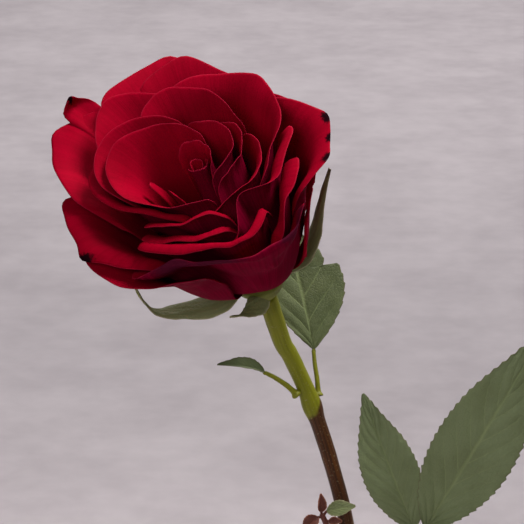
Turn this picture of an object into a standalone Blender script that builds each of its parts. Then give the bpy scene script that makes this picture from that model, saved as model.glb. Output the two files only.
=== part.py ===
"""A cut rose standing in a bud vase.

The frame is metres, +Z up, with the origin at the centre of the vase's flat foot.
The rose is one stem with its hip, sepals, petals, leaves and a young side shoot.
Sizes below are in millimetres and are turned into metres when a mesh is made.
"""
import math
from dataclasses import dataclass

import bpy
import numpy as np

MM = 0.001
GAP = 0.3                      # clearance between neighbouring pieces

# vase: a turned bottle with a flat foot
VASE_HEIGHT = 150.0
VASE_WALL = 3.6
VASE_FLOOR = 6.0
FOOT_RADIUS = 27.0
BELLY_RADIUS = 36.0
BELLY_HEIGHT = 44.0            # height of the widest ring
NECK_LENGTH = 38.0             # straight neck below the mouth
LIP_FLARE = 1.6                # how far the lip turns outward
LIP_HEIGHT = 10.0
VASE_SIDES = 30

# stem
STEM_BASE_RADIUS = 3.1
STEM_MOUTH_RADIUS = 2.8
STEM_NODE_RADIUS = 3.0
STEM_TOP_RADIUS = 3.7
STEM_SIDES = 10
STEM_RINGS = 40
STEM_REST = (12.0, 0.0)        # where the cut end stands on the vase's floor
STEM_LEAN = (-8.0, 0.0)        # where the stem leans on the vase's mouth
MOUTH = np.array((*STEM_LEAN, VASE_HEIGHT))
STEM_BENDS = (                 # the stem's line above the mouth, from there
    (-2.8, -2.4, 25.0), (-8.0, -2.8, 48.0), (-16.8, -3.6, 77.0), (-24.8, -5.6, 97.0),
)
SWELLINGS = ((17.0, 0.6, 4.0), (77.0, 0.7, 5.0))       # height above the mouth, extra radius, half length

# bloom: where it sits from the mouth, which way it faces, and how it leans off that axis
BLOOM_BASE = MOUTH + (-39.3, -19.3, 136.5)
BLOOM_FACING = (256.0, 33.4)   # heading and tilt of the mouth's normal, degrees
BLOOM_LEAN = (230.6, 33.6)     # heading and tilt of the line from hip to heart
CROWN_HEIGHT = 62.0            # height of the innermost rims above the hip
CROWN_DROP = 22.0              # how much lower the outermost shell ends
CROWN_REACH = (55, 60, 65, 69, 71, 71, 67, 60, 54, 49, 47, 50)     # radius of shell 1, every 30 deg
CROWN_FLARE = (20, 30, 35, 35, 35, 35, 40, 40, 10, -50, -75, -20)  # its extra outward turn, degrees

# hip and the claws of the petals on it
CLAW_INNER = 1.3
CLAW_OUTER = 9.5
CLAW_TOP = 3.2
CLAW_SLOPE = 0.5
HIP_WAIST = 14.0               # length of the hip below the petals
HIP_SHOULDER = 4.0

# petals
PETAL_THICKNESS = 0.4
PETAL_SPACING = PETAL_THICKNESS + 0.42                 # between the middles of two petals, at the axis
PETAL_SPREADING = 0.021        # and what is added for each millimetre of radius
PETAL_ROWS = (0, 0.2, 0.42, 0.62, 0.78, 0.88, 0.94, 1.0)
PETAL_CREST = 0.84             # share of the length where the rim starts to curl
PETAL_COLUMN = 12.0            # degrees covered by one column of faces

# green parts
SEPAL_THICKNESS = 0.6
SEPAL_STACK = 18               # petals that lie on one another inside a sepal
BLADE_THICKNESS = 0.5
STALK_SIDES = 8


@dataclass
class Petal:
    """One petal: azimuths it covers, rim radii from first to last azimuth, and its shape."""

    name: str
    first: float
    last: float
    rim: tuple
    height: float = 1.0        # share of the crown's height
    curl: float = 0.0          # how far the rim turns out past its crest
    roll: float = 0.0          # how far the rim turns down past its crest, 0 to 1
    rounding: float = 0.35     # how much lower the sides end than the middle
    tip: float = 0.0           # extra height of a pointed tip
    tip_at: float = 0.0        # its place across the petal, -1 to 1
    claw: float = 22.0         # half width at the hip, degrees
    root: float = -1.0         # shell at the hip, or -1 to follow the order

    @property
    def middle(self):
        return (self.first + self.last) / 2

    def half_width(self, share):
        """Half the petal's width in degrees at a share of the crown's height."""
        full = (self.last - self.first) / 2
        claw = min(self.claw, full)
        return claw + (full - claw) * smooth_ramp(share / 0.55)

    def outline(self, across):
        """Share of the full height that the rim reaches across the petal."""
        side = np.clip(np.abs(across), 0, 1)
        rounded = 1 - self.rounding * (1 - (1 - side ** 3) ** (1 / 3))
        return rounded + self.tip * np.exp(-((across - self.tip_at) / 0.16) ** 2)

    def place(self, across, along):
        """Azimuth, share of height and shell of points on the petal."""
        past = np.clip((along - PETAL_CREST) / (1 - PETAL_CREST), 0, None)
        rolled = PETAL_CREST + (1 - PETAL_CREST) * (past - self.roll * past ** 2)
        full = self.height * self.outline(across)
        share = full * np.where(along < PETAL_CREST, along, rolled)
        azimuth = self.middle + across * self.half_width(full * along)
        shell = read_field(self.shells, azimuth, share)
        return azimuth, share, shell + self.curl * past ** 1.5 / around(CROWN_REACH, azimuth)


# from the heart outwards; each petal lies wholly outside those before it
PETALS = [
    Petal("core_1", -60, 240, (2, 2, 2, 2, 2), 0.90, rounding=0.15, claw=60, root=0.02),
    Petal("core_2", 190, 420, (3, 3.5, 4, 4, 3), 0.92, rounding=0.15, claw=60, root=0.05),
    Petal("core_3", -40, 150, (5, 5.5, 6, 7, 8), 0.97, curl=1.0, rounding=0.2, claw=50),
    Petal("fold_1", 216, 244, (12, 13, 13, 13, 12), 0.86, rounding=0.5, claw=10),
    Petal("fold_2", 184, 212, (15, 17, 17, 17, 16), 0.86, rounding=0.5, claw=10),
    Petal("cup", 60, 290, (8, 17, 30.5, 25, 17.5), rounding=0.12, claw=50),
    Petal("heart_1", -62, 110, (10, 12, 15, 16, 10), rounding=0.2, claw=40),
    Petal("heart_2", -65, 75, (14, 14, 17, 20, 19), 0.99, rounding=0.2, claw=34),
    Petal("heart_3", -80, 54, (18, 19, 22, 24, 23), 0.97, curl=1.8, roll=0.4, rounding=0.25),
    Petal("inner_1", 100, 215, (20, 27, 35, 35, 30), rounding=0.2),
    Petal("inner_2", 215, 305, (23, 23, 20, 19, 19), 0.97, rounding=0.3),
    Petal("inner_3", 165, 262, (34, 35, 33, 26, 21), 1.03, curl=4, roll=0.8, rounding=0.25),
    Petal("inner_4", 225, 298, (25, 24, 22, 21, 20), 1.0, curl=2, roll=0.6, rounding=0.3),
    Petal("middle_1", 43, 138, (22, 27, 34, 37, 32), rounding=0.25),
    Petal("middle_2", 100, 165, (38, 42, 48, 44, 36), rounding=0.35, tip=0.03),
    Petal("middle_3", -30, 103, (24, 26, 37, 44, 40), rounding=0.25, tip=0.03, tip_at=0.3),
    Petal("middle_4", -66, 40, (21, 23, 29, 32, 32), 0.98, rounding=0.3),
    Petal("middle_5", 232, 326, (25, 22, 21, 21, 23), 1.02, curl=6, roll=1.0, rounding=0.25),
    Petal("middle_6", -47, 15, (28, 30, 32, 32, 32), 0.95, curl=3, roll=0.7, rounding=0.4, tip=0.03, tip_at=-0.6),
    Petal("back_1", 60, 118, (47, 50, 56, 60, 56), rounding=0.4, tip=0.03),
    Petal("back_2", 90, 140, (56, 62, 60, 58, 56), rounding=0.4, tip=0.05, tip_at=-0.5),
    Petal("outer_1", 125, 197, (56, 60, 57, 49, 45), curl=2, rounding=0.3, tip=0.06, tip_at=-0.3),
    Petal("outer_2", -20, 62, (34, 40, 45, 47, 45), 0.98, curl=2, rounding=0.3),
    Petal("outer_3", 170, 246, (50, 49, 44, 37, 32), 0.94, curl=6, roll=0.6, rounding=0.3, tip=0.05),
    Petal("outer_4", 229, 345, (33, 28, 25, 27, 33), 0.89, rounding=0.28),
    Petal("guard_1", 124, 150, (67, 69, 69, 68, 66), 0.98, rounding=0.5, tip=0.07, claw=12),
    Petal("guard_2", -20, 8, (38, 38, 38, 38, 38), 0.80, rounding=0.5, claw=12),
    Petal("guard_3", 208, 250, (34, 32, 30, 28, 27), 0.58, curl=2, rounding=0.4),
    Petal("guard_4", 34, 84, (50, 51, 52, 53, 54), 0.8, rounding=0.4),
    Petal("guard_5", 80, 128, (56, 58, 58, 58, 58), 0.8, rounding=0.4),
]

# sepals: azimuth, radius and height of the middle line in the bloom's frame, and half widths;
# the first radius is past the hip, and the others are past the petals that lie there
SEPALS = {
    "sepal_left": (
        ((215, 1.0, -3.8), (210, 2.8, -5.6), (200, 15.3, -6.4), (198, 22.3, -4.4),
         (195, 24.8, 0.0), (191, 25.5, 4.0), (189, 26.0, 6.5)),
        (4.2, 5.2, 3.8, 2.2, 1.4, 1.0, 0.6),
    ),
    "sepal_front": (
        ((275, 1.0, -3.8), (268, -2.2, -4.0), (258, 2.3, -2.6), (250, 6.3, 0.2)),
        (4.0, 4.4, 3.0, 0.8),
    ),
    "sepal_right": (
        ((22, 1.0, -3.8), (22, 1.3, -2.6), (23, 8.8, 4.0), (25, 15.3, 13.5),
         (26, 20.3, 20.5), (27, 25.8, 27.5)),
        (4.2, 5.0, 4.2, 2.8, 1.8, 0.8),
    ),
    "sepal_back_right": (
        ((88, 1.0, -3.8), (88, 5.3, -6.6), (87, 16.3, -9.0), (86, 24.3, -14.0)),
        (4.2, 4.8, 2.6, 0.7),
    ),
    "sepal_back_left": (
        ((150, 1.0, -3.8), (150, 5.3, -6.6), (151, 16.3, -9.0), (152, 24.3, -14.0)),
        (4.2, 4.8, 2.6, 0.7),
    ),
}


@dataclass
class Stalk:
    """A thin stalk: where it leaves the stem, its bends from there, and its first and last radius."""

    level: float               # height above the mouth
    heading: float             # side of the stem it leaves, degrees
    bends: tuple
    first: float
    last: float

    def line(self):
        """Points of the stalk's middle line."""
        start = beside_stem(self.level, self.heading, self.first, self.bends[0])
        return np.array([start] + [start + bend for bend in self.bends])


STALKS = {
    "upper_leaf_stalk": Stalk(78.5, 55, ((-0.2, 2.5, 5.5), (-1.2, 6.3, 11.5), (-1.6, 9.1, 16.3)), 1.1, 0.8),
    "small_leaf_stalk": Stalk(82.0, 215, ((-4.0, -1.6, 4.6), (-9.2, -3.8, 9.0), (-12.8, -5.2, 11.2)), 1.2, 0.8),
    "leaf_stalk": Stalk(
        16.4, -32, ((4.4, -2.0, 3.1), (11.4, -4.2, 7.0), (18.4, -6.6, 10.4), (25.2, -7.4, 13.6)), 1.3, 0.9,
    ),
    "shoot_stem": Stalk(18.0, 228, ((-3.0, -1.6, 6.0), (-6.0, -2.8, 12.0), (-7.8, -3.3, 17.2)), 1.4, 1.1),
}


@dataclass
class Blade:
    """One leaf blade, placed from the end of its stalk: its ends, width, facing and folds."""

    name: str
    stalk: str
    base: tuple
    tip: tuple
    half_width: float
    facing: tuple
    arch: float = 2.0          # how far the midrib bows towards the upper side
    fold: float = 12.0         # degrees each half rises off flat
    left: float = 1.0          # width of the left half over the right one's
    widest: float = 0.42       # share of the length where it is widest
    columns: int = 7
    rows: int = 11


BLADES = [
    Blade("upper_leaf", "upper_leaf_stalk", (0.0, 0.4, 0.8), (-11.0, 23.8, 43.5), 17.0, (0.25, -0.85, 0.35),
          1.5, 6, left=0.75, widest=0.5),
    Blade("small_leaf", "small_leaf_stalk", (-0.6, -0.2, 0.4), (-17.8, -12.5, 7.8), 3.2, (0.2, -0.5, 0.8),
          1.5, 40, columns=5),
    Blade("leaflet_left", "leaf_stalk", (-3.8, 0.8, -0.3), (-23.5, 11.8, 50.7), 10.8, (-0.25, -0.9, 0.3), 2.0, 8),
    Blade("leaflet_end", "leaf_stalk", (0.5, -0.3, 0.6), (43.2, 0.8, 80.0), 15.6, (0.1, -0.8, 0.4), 3.0, 8),
    Blade("leaflet_right", "leaf_stalk", (-2.2, -0.5, -2.8), (44.2, -17.2, -24.0), 11.0, (0.15, -0.35, 0.9),
          3.0, 10),
]

SHOOT_BLADES = [
    Blade("shoot_leaf_1", "shoot_stem", (-0.3, -0.1, 0.9), (-0.6, 0.3, 8.4), 1.7, (0.3, -0.9, 0.2), 0.6, 25,
          columns=5, rows=7),
    Blade("shoot_leaf_2", "shoot_stem", (1.7, -0.2, 1.4), (12.6, -2.3, 4.4), 2.8, (0.1, -0.8, 0.6), 0.8, 12,
          columns=5, rows=7),
    Blade("shoot_leaf_3", "shoot_stem", (-1.4, -0.9, -0.8), (-7.6, -2.5, -5.6), 2.8, (-0.3, -0.85, 0.4), 1.0, 25,
          columns=5, rows=7),
    Blade("shoot_leaf_4", "shoot_stem", (2.4, -0.3, -2.8), (7.6, -1.3, -2.4), 1.3, (0.1, -0.8, 0.6), 0.5, 18,
          columns=5, rows=7),
]

COLOURS = {                    # colour, roughness
    "glaze": ((0.86, 0.85, 0.82), 0.18),
    "petal": ((0.42, 0.0, 0.025), 0.55),
    "green_stem": ((0.20, 0.22, 0.03), 0.45),
    "sepal": ((0.16, 0.20, 0.04), 0.55),
    "leaf": ((0.11, 0.17, 0.07), 0.6),
    "shoot": ((0.22, 0.06, 0.04), 0.55),
}

# grid on which the petals are packed: rows of height, columns of azimuth
FIELD_STEP = 3.0
FIELD_ROWS = 41
FIELD_TOP = 1.05
FIELD_AZIMUTHS = np.arange(0, 360, FIELD_STEP)
FIELD_SHARES = np.linspace(0, FIELD_TOP, FIELD_ROWS)


# ---------------------------------------------------------------- curves and frames

def smooth_ramp(x):
    """Rise from 0 to 1 with flat ends."""
    x = np.clip(x, 0, 1)
    return x * x * (3 - 2 * x)


def through(p0, p1, p2, p3, f):
    """Catmull-Rom curve from p1 to p2."""
    return p1 + 0.5 * f * (p2 - p0 + f * (2 * p0 - 5 * p1 + 4 * p2 - p3 + f * (3 * (p1 - p2) + p3 - p0)))


def around(values, azimuth):
    """Smooth closed curve through values that are evenly spaced round the circle."""
    values = np.asarray(values, float)
    count = len(values)
    place = np.asarray(azimuth, float) / 360.0 * count
    i = np.floor(place).astype(int)
    return through(values[(i - 1) % count], values[i % count], values[(i + 1) % count],
                   values[(i + 2) % count], place - i)


def along_line(values, share):
    """Smooth open curve through evenly spaced values or points, share 0 to 1."""
    values = np.asarray(values, float)
    last = len(values) - 1
    place = np.clip(np.asarray(share, float), 0, 1) * last
    i = np.clip(np.floor(place).astype(int), 0, last - 1)
    f = place - i
    if values.ndim > 1:
        f = f[..., None]
    near = [values[np.clip(i + k, 0, last)] for k in (-1, 0, 1, 2)]
    return through(*near, f)


def unit(vector):
    return np.asarray(vector, float) / np.linalg.norm(vector)


def direction(heading, tilt):
    """Unit vector tilted from vertical towards a heading."""
    h, t = math.radians(heading), math.radians(tilt)
    return np.array((math.sin(t) * math.cos(h), math.sin(t) * math.sin(h), math.cos(t)))


def bloom_axes():
    """Sideways, upward and outward axes of the bloom, as columns."""
    normal = direction(*BLOOM_FACING)
    sideways = unit(np.array((1.0, 0, 0)) - normal[0] * normal)
    return np.stack([sideways, np.cross(normal, sideways), direction(*BLOOM_LEAN)], 1)


def bloom_to_world(azimuth, radius, height):
    """Points from the bloom's azimuth in degrees, radius and height."""
    a = np.radians(azimuth)
    local = np.stack(np.broadcast_arrays(radius * np.cos(a), radius * np.sin(a), height), -1)
    return BLOOM_BASE + local @ bloom_axes().T


# ---------------------------------------------------------------- nested shells of the bloom

def shell_point(shell, share, azimuth):
    """Radius and height on a shell: shell 0 is the heart, shell 1 the outermost."""
    shell, share, azimuth = np.broadcast_arrays(*(np.asarray(v, float) for v in (shell, share, azimuth)))
    r0 = CLAW_INNER + (CLAW_OUTER - CLAW_INNER) * shell
    z0 = CLAW_TOP - CLAW_SLOPE * (r0 - CLAW_INNER)
    r1 = shell * around(CROWN_REACH, azimuth)
    z1 = CROWN_HEIGHT - CROWN_DROP * shell ** 3
    chord = np.hypot(r1 - r0, z1 - z0)
    start = np.radians(80 - 85 * np.clip(shell, 0, 1.2) ** 0.7)
    end = np.radians(82 - (62 + around(CROWN_FLARE, azimuth)) * np.clip(shell, 0, 1.3) ** 1.6)
    pull0, pull1 = chord * (1.0 + 0.35 * shell), chord * 0.9
    blend = share * share * (3 - 2 * share)
    lift0, lift1 = share * (1 - share) ** 2, -share * share * (1 - share)
    radius = r0 + (r1 - r0) * blend + pull0 * np.cos(start) * lift0 + pull1 * np.cos(end) * lift1
    height = z0 + (z1 - z0) * blend + pull0 * np.sin(start) * lift0 + pull1 * np.sin(end) * lift1
    return radius, height


def shell_spacing(shell, share, azimuth):
    """Distance between neighbouring shells for one whole shell, in millimetres."""
    step = 0.01
    r_out, z_out = shell_point(shell + step, share, azimuth)
    r_in, z_in = shell_point(shell - step, share, azimuth)
    r_up, z_up = shell_point(shell, np.minimum(share + step, 1.0), azimuth)
    r_low, z_low = shell_point(shell, np.maximum(share - step, 0.0), azimuth)
    dr, dz = (r_out - r_in) / (2 * step), (z_out - z_in) / (2 * step)
    tr, tz = r_up - r_low, z_up - z_low
    return np.abs(dr * tz - dz * tr) / np.maximum(np.hypot(tr, tz), 1e-9)


def shell_at_radius(radius, share, azimuth):
    """The shell that has this radius at this height, by halving."""
    low, high = np.zeros_like(radius), np.full_like(radius, 1.4)
    for _ in range(30):
        middle = (low + high) / 2
        too_big = shell_point(middle, share, azimuth)[0] > radius
        high = np.where(too_big, middle, high)
        low = np.where(too_big, low, middle)
    return (low + high) / 2


def blurred(field, columns, rows):
    """Average over neighbouring cells, round the circle and up the rows."""
    for _ in range(2):
        field = sum(np.roll(field, k, 1) for k in range(-columns, columns + 1)) / (2 * columns + 1)
        padded = np.pad(field, ((rows, rows), (0, 0)), mode="edge")
        field = sum(padded[k:k + FIELD_ROWS] for k in range(2 * rows + 1)) / (2 * rows + 1)
    return field


def widened(field, columns, rows):
    """Largest value among neighbouring cells."""
    field = np.max([np.roll(field, k, 1) for k in range(-columns, columns + 1)], 0)
    padded = np.pad(field, ((rows, rows), (0, 0)), mode="edge")
    return np.max([padded[k:k + FIELD_ROWS] for k in range(2 * rows + 1)], 0)


def field_cell(azimuth, share):
    """Fractional column and row of a place on the field."""
    column = (np.asarray(azimuth) / FIELD_STEP) % len(FIELD_AZIMUTHS)
    row = np.clip(np.asarray(share) / FIELD_TOP * (FIELD_ROWS - 1), 0, FIELD_ROWS - 1.001)
    return column, row


def read_field(field, azimuth, share):
    """Value between the field's cells."""
    column, row = field_cell(azimuth, share)
    i, j = np.floor(column).astype(int), np.floor(row).astype(int)
    fx, fy = column - i, row - j
    i, i_next = i % len(FIELD_AZIMUTHS), (i + 1) % len(FIELD_AZIMUTHS)
    low = field[j, i] * (1 - fx) + field[j, i_next] * fx
    high = field[j + 1, i] * (1 - fx) + field[j + 1, i_next] * fx
    return low * (1 - fy) + high * fy


def nest_petals(petals):
    """Give every petal its field of shells, each pushed clear of the petals inside it."""
    azimuth, share = np.meshgrid(FIELD_AZIMUTHS, FIELD_SHARES)
    front = np.full(azimuth.shape, -1.0)
    across_fine, along_fine = np.meshgrid(np.linspace(-1, 1, 121), np.linspace(0, 1, 121))
    for order, petal in enumerate(petals):
        turn = (azimuth - petal.middle + 180) % 360 - 180
        half = petal.half_width(share)
        across = np.clip(turn / half, -1, 1)
        root = petal.root if petal.root >= 0 else 0.05 + 0.85 * order / len(petals)
        rim_radius = along_line(petal.rim, (across + 1) / 2)
        rim = shell_at_radius(rim_radius, np.full(azimuth.shape, min(petal.height, 1.0)), azimuth)
        wanted = root + (rim - root) * np.clip(share / petal.height, 0, 1) ** 0.75
        covered = np.abs(turn / half) < 1 + FIELD_STEP * 1.2 / half
        covered &= share <= petal.height * petal.outline(across) + 0.06
        inside = np.maximum(front, 0.02)
        gap = PETAL_SPACING + PETAL_SPREADING * shell_point(inside, share, azimuth)[0]
        gap = gap / np.maximum(shell_spacing(inside, share, azimuth), 4.0)
        push = np.maximum(np.where((front >= 0) & covered, front + gap - wanted, 0.0), 0)
        petal.shells = wanted + np.maximum(push, blurred(widened(push, 2, 1), 2, 1))
        column, row = field_cell(*petal.place(across_fine, along_fine)[:2])
        reached = petal.place(across_fine, along_fine)[2]
        for side in (-1, 0, 1):
            for step in (-1, 0, 1):
                i = np.floor(column + 0.5 + side).astype(int) % len(FIELD_AZIMUTHS)
                j = np.clip(np.floor(row + 0.5).astype(int) + step, 0, FIELD_ROWS - 1)
                np.maximum.at(front, (j, i), reached)


# ---------------------------------------------------------------- meshes

def add_object(name, vertices, faces, material):
    """Make a smooth-shaded object from millimetre vertices, faces pointing out."""
    vertices = np.asarray(vertices, float)
    volume = 0.0
    for face in faces:
        a, b, c = vertices[face[0]], vertices[face[1]], vertices[face[2]]
        volume += np.dot(a, np.cross(b, c))
        if len(face) == 4:
            volume += np.dot(a, np.cross(c, vertices[face[3]]))
    if volume < 0:
        faces = [tuple(reversed(face)) for face in faces]
    mesh = bpy.data.meshes.new(name)
    mesh.from_pydata((vertices * MM).tolist(), [], [tuple(int(k) for k in face) for face in faces])
    mesh.validate()
    mesh.shade_smooth()
    mesh.set_sharp_from_angle(angle=math.radians(50))
    mesh.materials.append(material)
    piece = bpy.data.objects.new(name, mesh)
    bpy.context.scene.collection.objects.link(piece)
    return piece


def sheet(points, thickness):
    """Vertices and triangles of a closed thin solid around a grid of points."""
    normals = np.cross(np.gradient(points, axis=1), np.gradient(points, axis=0))
    normals /= np.linalg.norm(normals, axis=-1, keepdims=True) + 1e-12
    rows, columns = points.shape[:2]
    offset = normals * thickness / 2
    vertices = np.concatenate([(points + offset).reshape(-1, 3), (points - offset).reshape(-1, 3)])
    index = np.arange(rows * columns).reshape(rows, columns)
    under = rows * columns
    faces = []
    for j in range(rows - 1):
        for i in range(columns - 1):
            a, b, c, d = index[j, i], index[j, i + 1], index[j + 1, i + 1], index[j + 1, i]
            faces += [(a, b, c), (a, c, d), (a + under, c + under, b + under), (a + under, d + under, c + under)]
    edge = list(index[0, :]) + list(index[1:, -1]) + list(index[-1, -2::-1]) + list(index[-2:0:-1, 0])
    for a, b in zip(edge, edge[1:] + edge[:1]):
        faces += [(a, a + under, b), (b, a + under, b + under)]
    return vertices, faces


def tube(points, radii, sides, end_normal=None):
    """Vertices and faces of a round rod along a line of points, with flat ends."""
    points = np.asarray(points, float)
    tangents = np.gradient(points, axis=0)
    tangents /= np.linalg.norm(tangents, axis=1, keepdims=True)
    if end_normal is not None:
        tangents[-1] = end_normal
    side = unit(np.cross(tangents[0], (0.0, 1.0, 0.0)))
    vertices = []
    for point, tangent, radius in zip(points, tangents, radii):
        side = unit(side - np.dot(side, tangent) * tangent)
        other = np.cross(tangent, side)
        for k in range(sides):
            a = 2 * math.pi * k / sides
            vertices.append(point + radius * (math.cos(a) * side + math.sin(a) * other))
    faces = [tuple(range(sides))[::-1], tuple(range(len(vertices) - sides, len(vertices)))]
    for ring in range(len(points) - 1):
        for k in range(sides):
            a, b = ring * sides + k, ring * sides + (k + 1) % sides
            faces.append((a, b, b + sides, a + sides))
    return vertices, faces


def turned(profile, sides, place):
    """Vertices and faces of a closed turned body; the profile starts and ends on the axis."""
    vertices, rings = [], []
    for radius, height in profile:
        if radius < 1e-6:
            rings.append([len(vertices)])
            vertices.append(place(0.0, 0.0, height))
            continue
        rings.append(list(range(len(vertices), len(vertices) + sides)))
        for k in range(sides):
            vertices.append(place(360.0 * k / sides, radius, height))
    faces = []
    for low, high in zip(rings, rings[1:]):
        for k in range(sides):
            n = (k + 1) % sides
            if len(low) == 1:
                faces.append((low[0], high[k], high[n]))
            elif len(high) == 1:
                faces.append((low[k], high[0], low[n]))
            else:
                faces.append((low[k], high[k], high[n], low[n]))
    return vertices, faces


def material(name):
    """Principled material with the part's colour."""
    colour, roughness = COLOURS[name]
    made = bpy.data.materials.new(name)
    made.use_nodes = True
    shader = made.node_tree.nodes["Principled BSDF"]
    shader.inputs["Base Color"].default_value = (*colour, 1.0)
    shader.inputs["Roughness"].default_value = roughness
    shader.inputs["Metallic"].default_value = 0.0
    made.diffuse_color = (*colour, 1.0)
    return made


# ---------------------------------------------------------------- parts

def mouth_radius():
    """Inner radius of the vase's neck: the leaning stem just touches it."""
    return math.hypot(*STEM_LEAN) + STEM_MOUTH_RADIUS + GAP


def make_vase(glaze):
    """Bottle with a flat foot, a round belly and a straight neck, open at the mouth."""
    bore = mouth_radius()
    neck = bore + VASE_WALL
    neck_start = VASE_HEIGHT - NECK_LENGTH
    outer_keys = (
        (FOOT_RADIUS, 0.0), (FOOT_RADIUS + 4.0, 7.0), (BELLY_RADIUS - 1.0, BELLY_HEIGHT * 0.6),
        (BELLY_RADIUS, BELLY_HEIGHT), (BELLY_RADIUS * 0.88, BELLY_HEIGHT + 19.0),
        ((BELLY_RADIUS + neck) / 2 - 1.0, (BELLY_HEIGHT + neck_start) / 2 + 3.0),
        (neck + 3.0, neck_start - 13.0), (neck, neck_start + 4.0), (neck, VASE_HEIGHT - LIP_HEIGHT),
        (neck + LIP_FLARE, VASE_HEIGHT - 1.2),
    )
    outer = [tuple(p) for p in along_line(outer_keys, np.linspace(0, 1, 16))]
    inner = []
    for radius, height in reversed(outer):
        if VASE_FLOOR + 1.0 < height < VASE_HEIGHT - LIP_HEIGHT:
            inner.append((radius - VASE_WALL, height))
    profile = [(0.0, 0.0)] + outer + [(neck + LIP_FLARE - 1.0, VASE_HEIGHT), (bore + LIP_FLARE * 0.5, VASE_HEIGHT)]
    profile += [(bore, VASE_HEIGHT - LIP_HEIGHT * 0.5)] + inner
    profile += [(inner[-1][0] - 2.5, VASE_FLOOR), (0.0, VASE_FLOOR)]

    def place(azimuth, radius, height):
        a = math.radians(azimuth)
        return (radius * math.cos(a), radius * math.sin(a), height)

    add_object("vase", *turned(profile, VASE_SIDES, place), glaze)


def stem_line():
    """Middle line of the stem, from the cut end to just under the hip."""
    top = bloom_to_world(0.0, 0.0, -HIP_WAIST - GAP)
    foot = (*STEM_REST, VASE_FLOOR + GAP + STEM_BASE_RADIUS * 0.13)
    foot = np.array(foot)
    keys = [foot, foot + (MOUTH - foot) * 0.34, foot + (MOUTH - foot) * 0.67, MOUTH]
    keys += [MOUTH + p for p in STEM_BENDS] + [top + (1.4, 2.6, -10.5), top]
    lengths = np.concatenate([[0], np.cumsum(np.linalg.norm(np.diff(keys, axis=0), axis=1))])
    even = np.linspace(0, lengths[-1], STEM_RINGS)
    share = np.interp(even, lengths, np.linspace(0, 1, len(keys)))
    return along_line(np.array(keys), share)


def stem_radius(height):
    """Radius of the stem at a height, with its swollen nodes."""
    heights = (0.0, VASE_HEIGHT, VASE_HEIGHT + SWELLINGS[-1][0], BLOOM_BASE[2] - HIP_WAIST)
    radii = (STEM_BASE_RADIUS, STEM_MOUTH_RADIUS, STEM_NODE_RADIUS, STEM_TOP_RADIUS)
    radius = np.interp(height, heights, radii)
    for level, extra, length in SWELLINGS:
        radius += extra * math.exp(-((height - VASE_HEIGHT - level) / length) ** 2)
    return radius


def beside_stem(level, heading, own_radius, leaving):
    """Point at a level above the mouth where a rod that leaves in this direction just clears the stem."""
    line = stem_line()
    height = VASE_HEIGHT + level
    middle = [np.interp(height, line[:, 2], line[:, axis]) for axis in range(3)]
    outward = direction(heading, 90.0)
    end_disc = own_radius * math.sqrt(1 - np.dot(unit(leaving), outward) ** 2)
    return np.array(middle) + (stem_radius(height) + end_disc + GAP) * outward


def make_stem(green):
    line = stem_line()
    radii = [stem_radius(point[2]) for point in line]
    add_object("stem", *tube(line, radii, STEM_SIDES, direction(*BLOOM_FACING)), green)


def make_hip(green):
    """Swollen end of the stem that carries petals and sepals."""
    under = PETAL_THICKNESS / 2 + GAP
    rim_drop = CLAW_SLOPE * (CLAW_OUTER - CLAW_INNER)
    profile = [
        (0.0, -HIP_WAIST), (STEM_TOP_RADIUS, -HIP_WAIST), (STEM_TOP_RADIUS + 2.0, -HIP_WAIST + 3.0),
        (CLAW_OUTER - 0.8, -HIP_SHOULDER - 4.0), (CLAW_OUTER + 0.4, -HIP_SHOULDER - 0.8),
        (CLAW_OUTER, CLAW_TOP - rim_drop - under - 0.9), (CLAW_OUTER - 1.5, CLAW_TOP - rim_drop - under),
        (CLAW_INNER, CLAW_TOP - under - 0.25), (0.0, CLAW_TOP - under - 0.25),
    ]
    add_object("hip", *turned(profile, 18, bloom_to_world), green)


def make_petals(red):
    nest_petals(PETALS)
    along = np.array(PETAL_ROWS)
    for petal in PETALS:
        columns = int(np.clip(round((petal.last - petal.first) / PETAL_COLUMN) + 1, 6, 15))
        across_grid, along_grid = np.meshgrid(np.linspace(-1, 1, columns), along)
        azimuth, share, shell = petal.place(across_grid, along_grid)
        radius, height = shell_point(shell, share, azimuth)
        points = bloom_to_world(azimuth, radius, height)
        add_object("petal_" + petal.name, *sheet(points, PETAL_THICKNESS), red)


def make_sepals(green):
    axes = bloom_axes()
    for name, (line, widths) in SEPALS.items():
        share = np.linspace(0, 1, 4 * len(line) - 5)
        azimuth, radius, height = np.array(line, float).T
        radius[1:] += SEPAL_STACK * PETAL_THICKNESS
        keys = bloom_to_world(azimuth, CLAW_OUTER + radius, height)
        middle = along_line(keys, share)
        width = along_line(widths, share)
        first = math.radians(line[0][0])
        aside = -math.sin(first) * axes[:, 0] + math.cos(first) * axes[:, 1]
        across = np.linspace(-1, 1, 5)
        points = middle[:, None, :] + across[None, :, None] * width[:, None, None] * aside
        add_object(name, *sheet(points, SEPAL_THICKNESS), green)


def blade_points(blade, columns, rows):
    """Grid of points on the middle surface of a blade, and its upward normal."""
    end = STALKS[blade.stalk].line()[-1]
    base, tip = end + blade.base, end + blade.tip
    length = tip - base
    along = unit(length)
    facing = np.array(blade.facing)
    facing = unit(facing - np.dot(facing, along) * along)
    aside = np.cross(along, facing)
    share = np.linspace(0, 1, rows)
    power = math.log(0.5) / math.log(blade.widest)
    width = 0.5 + blade.half_width * np.sin(math.pi * share ** power) ** 0.85
    width[-1] = 0.45
    fold = math.radians(blade.fold)
    spine = base + np.outer(share, length) + np.outer(blade.arch * np.sin(math.pi * share), facing)
    across = np.linspace(-1, 1, columns)
    side = across * np.where(across < 0, blade.left, 1.0)
    out = side[None, :, None] * width[:, None, None] * math.cos(fold) * aside
    lift = np.abs(side)[None, :, None] * width[:, None, None] * math.sin(fold) * facing
    return spine[:, None, :] + out + lift


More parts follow.
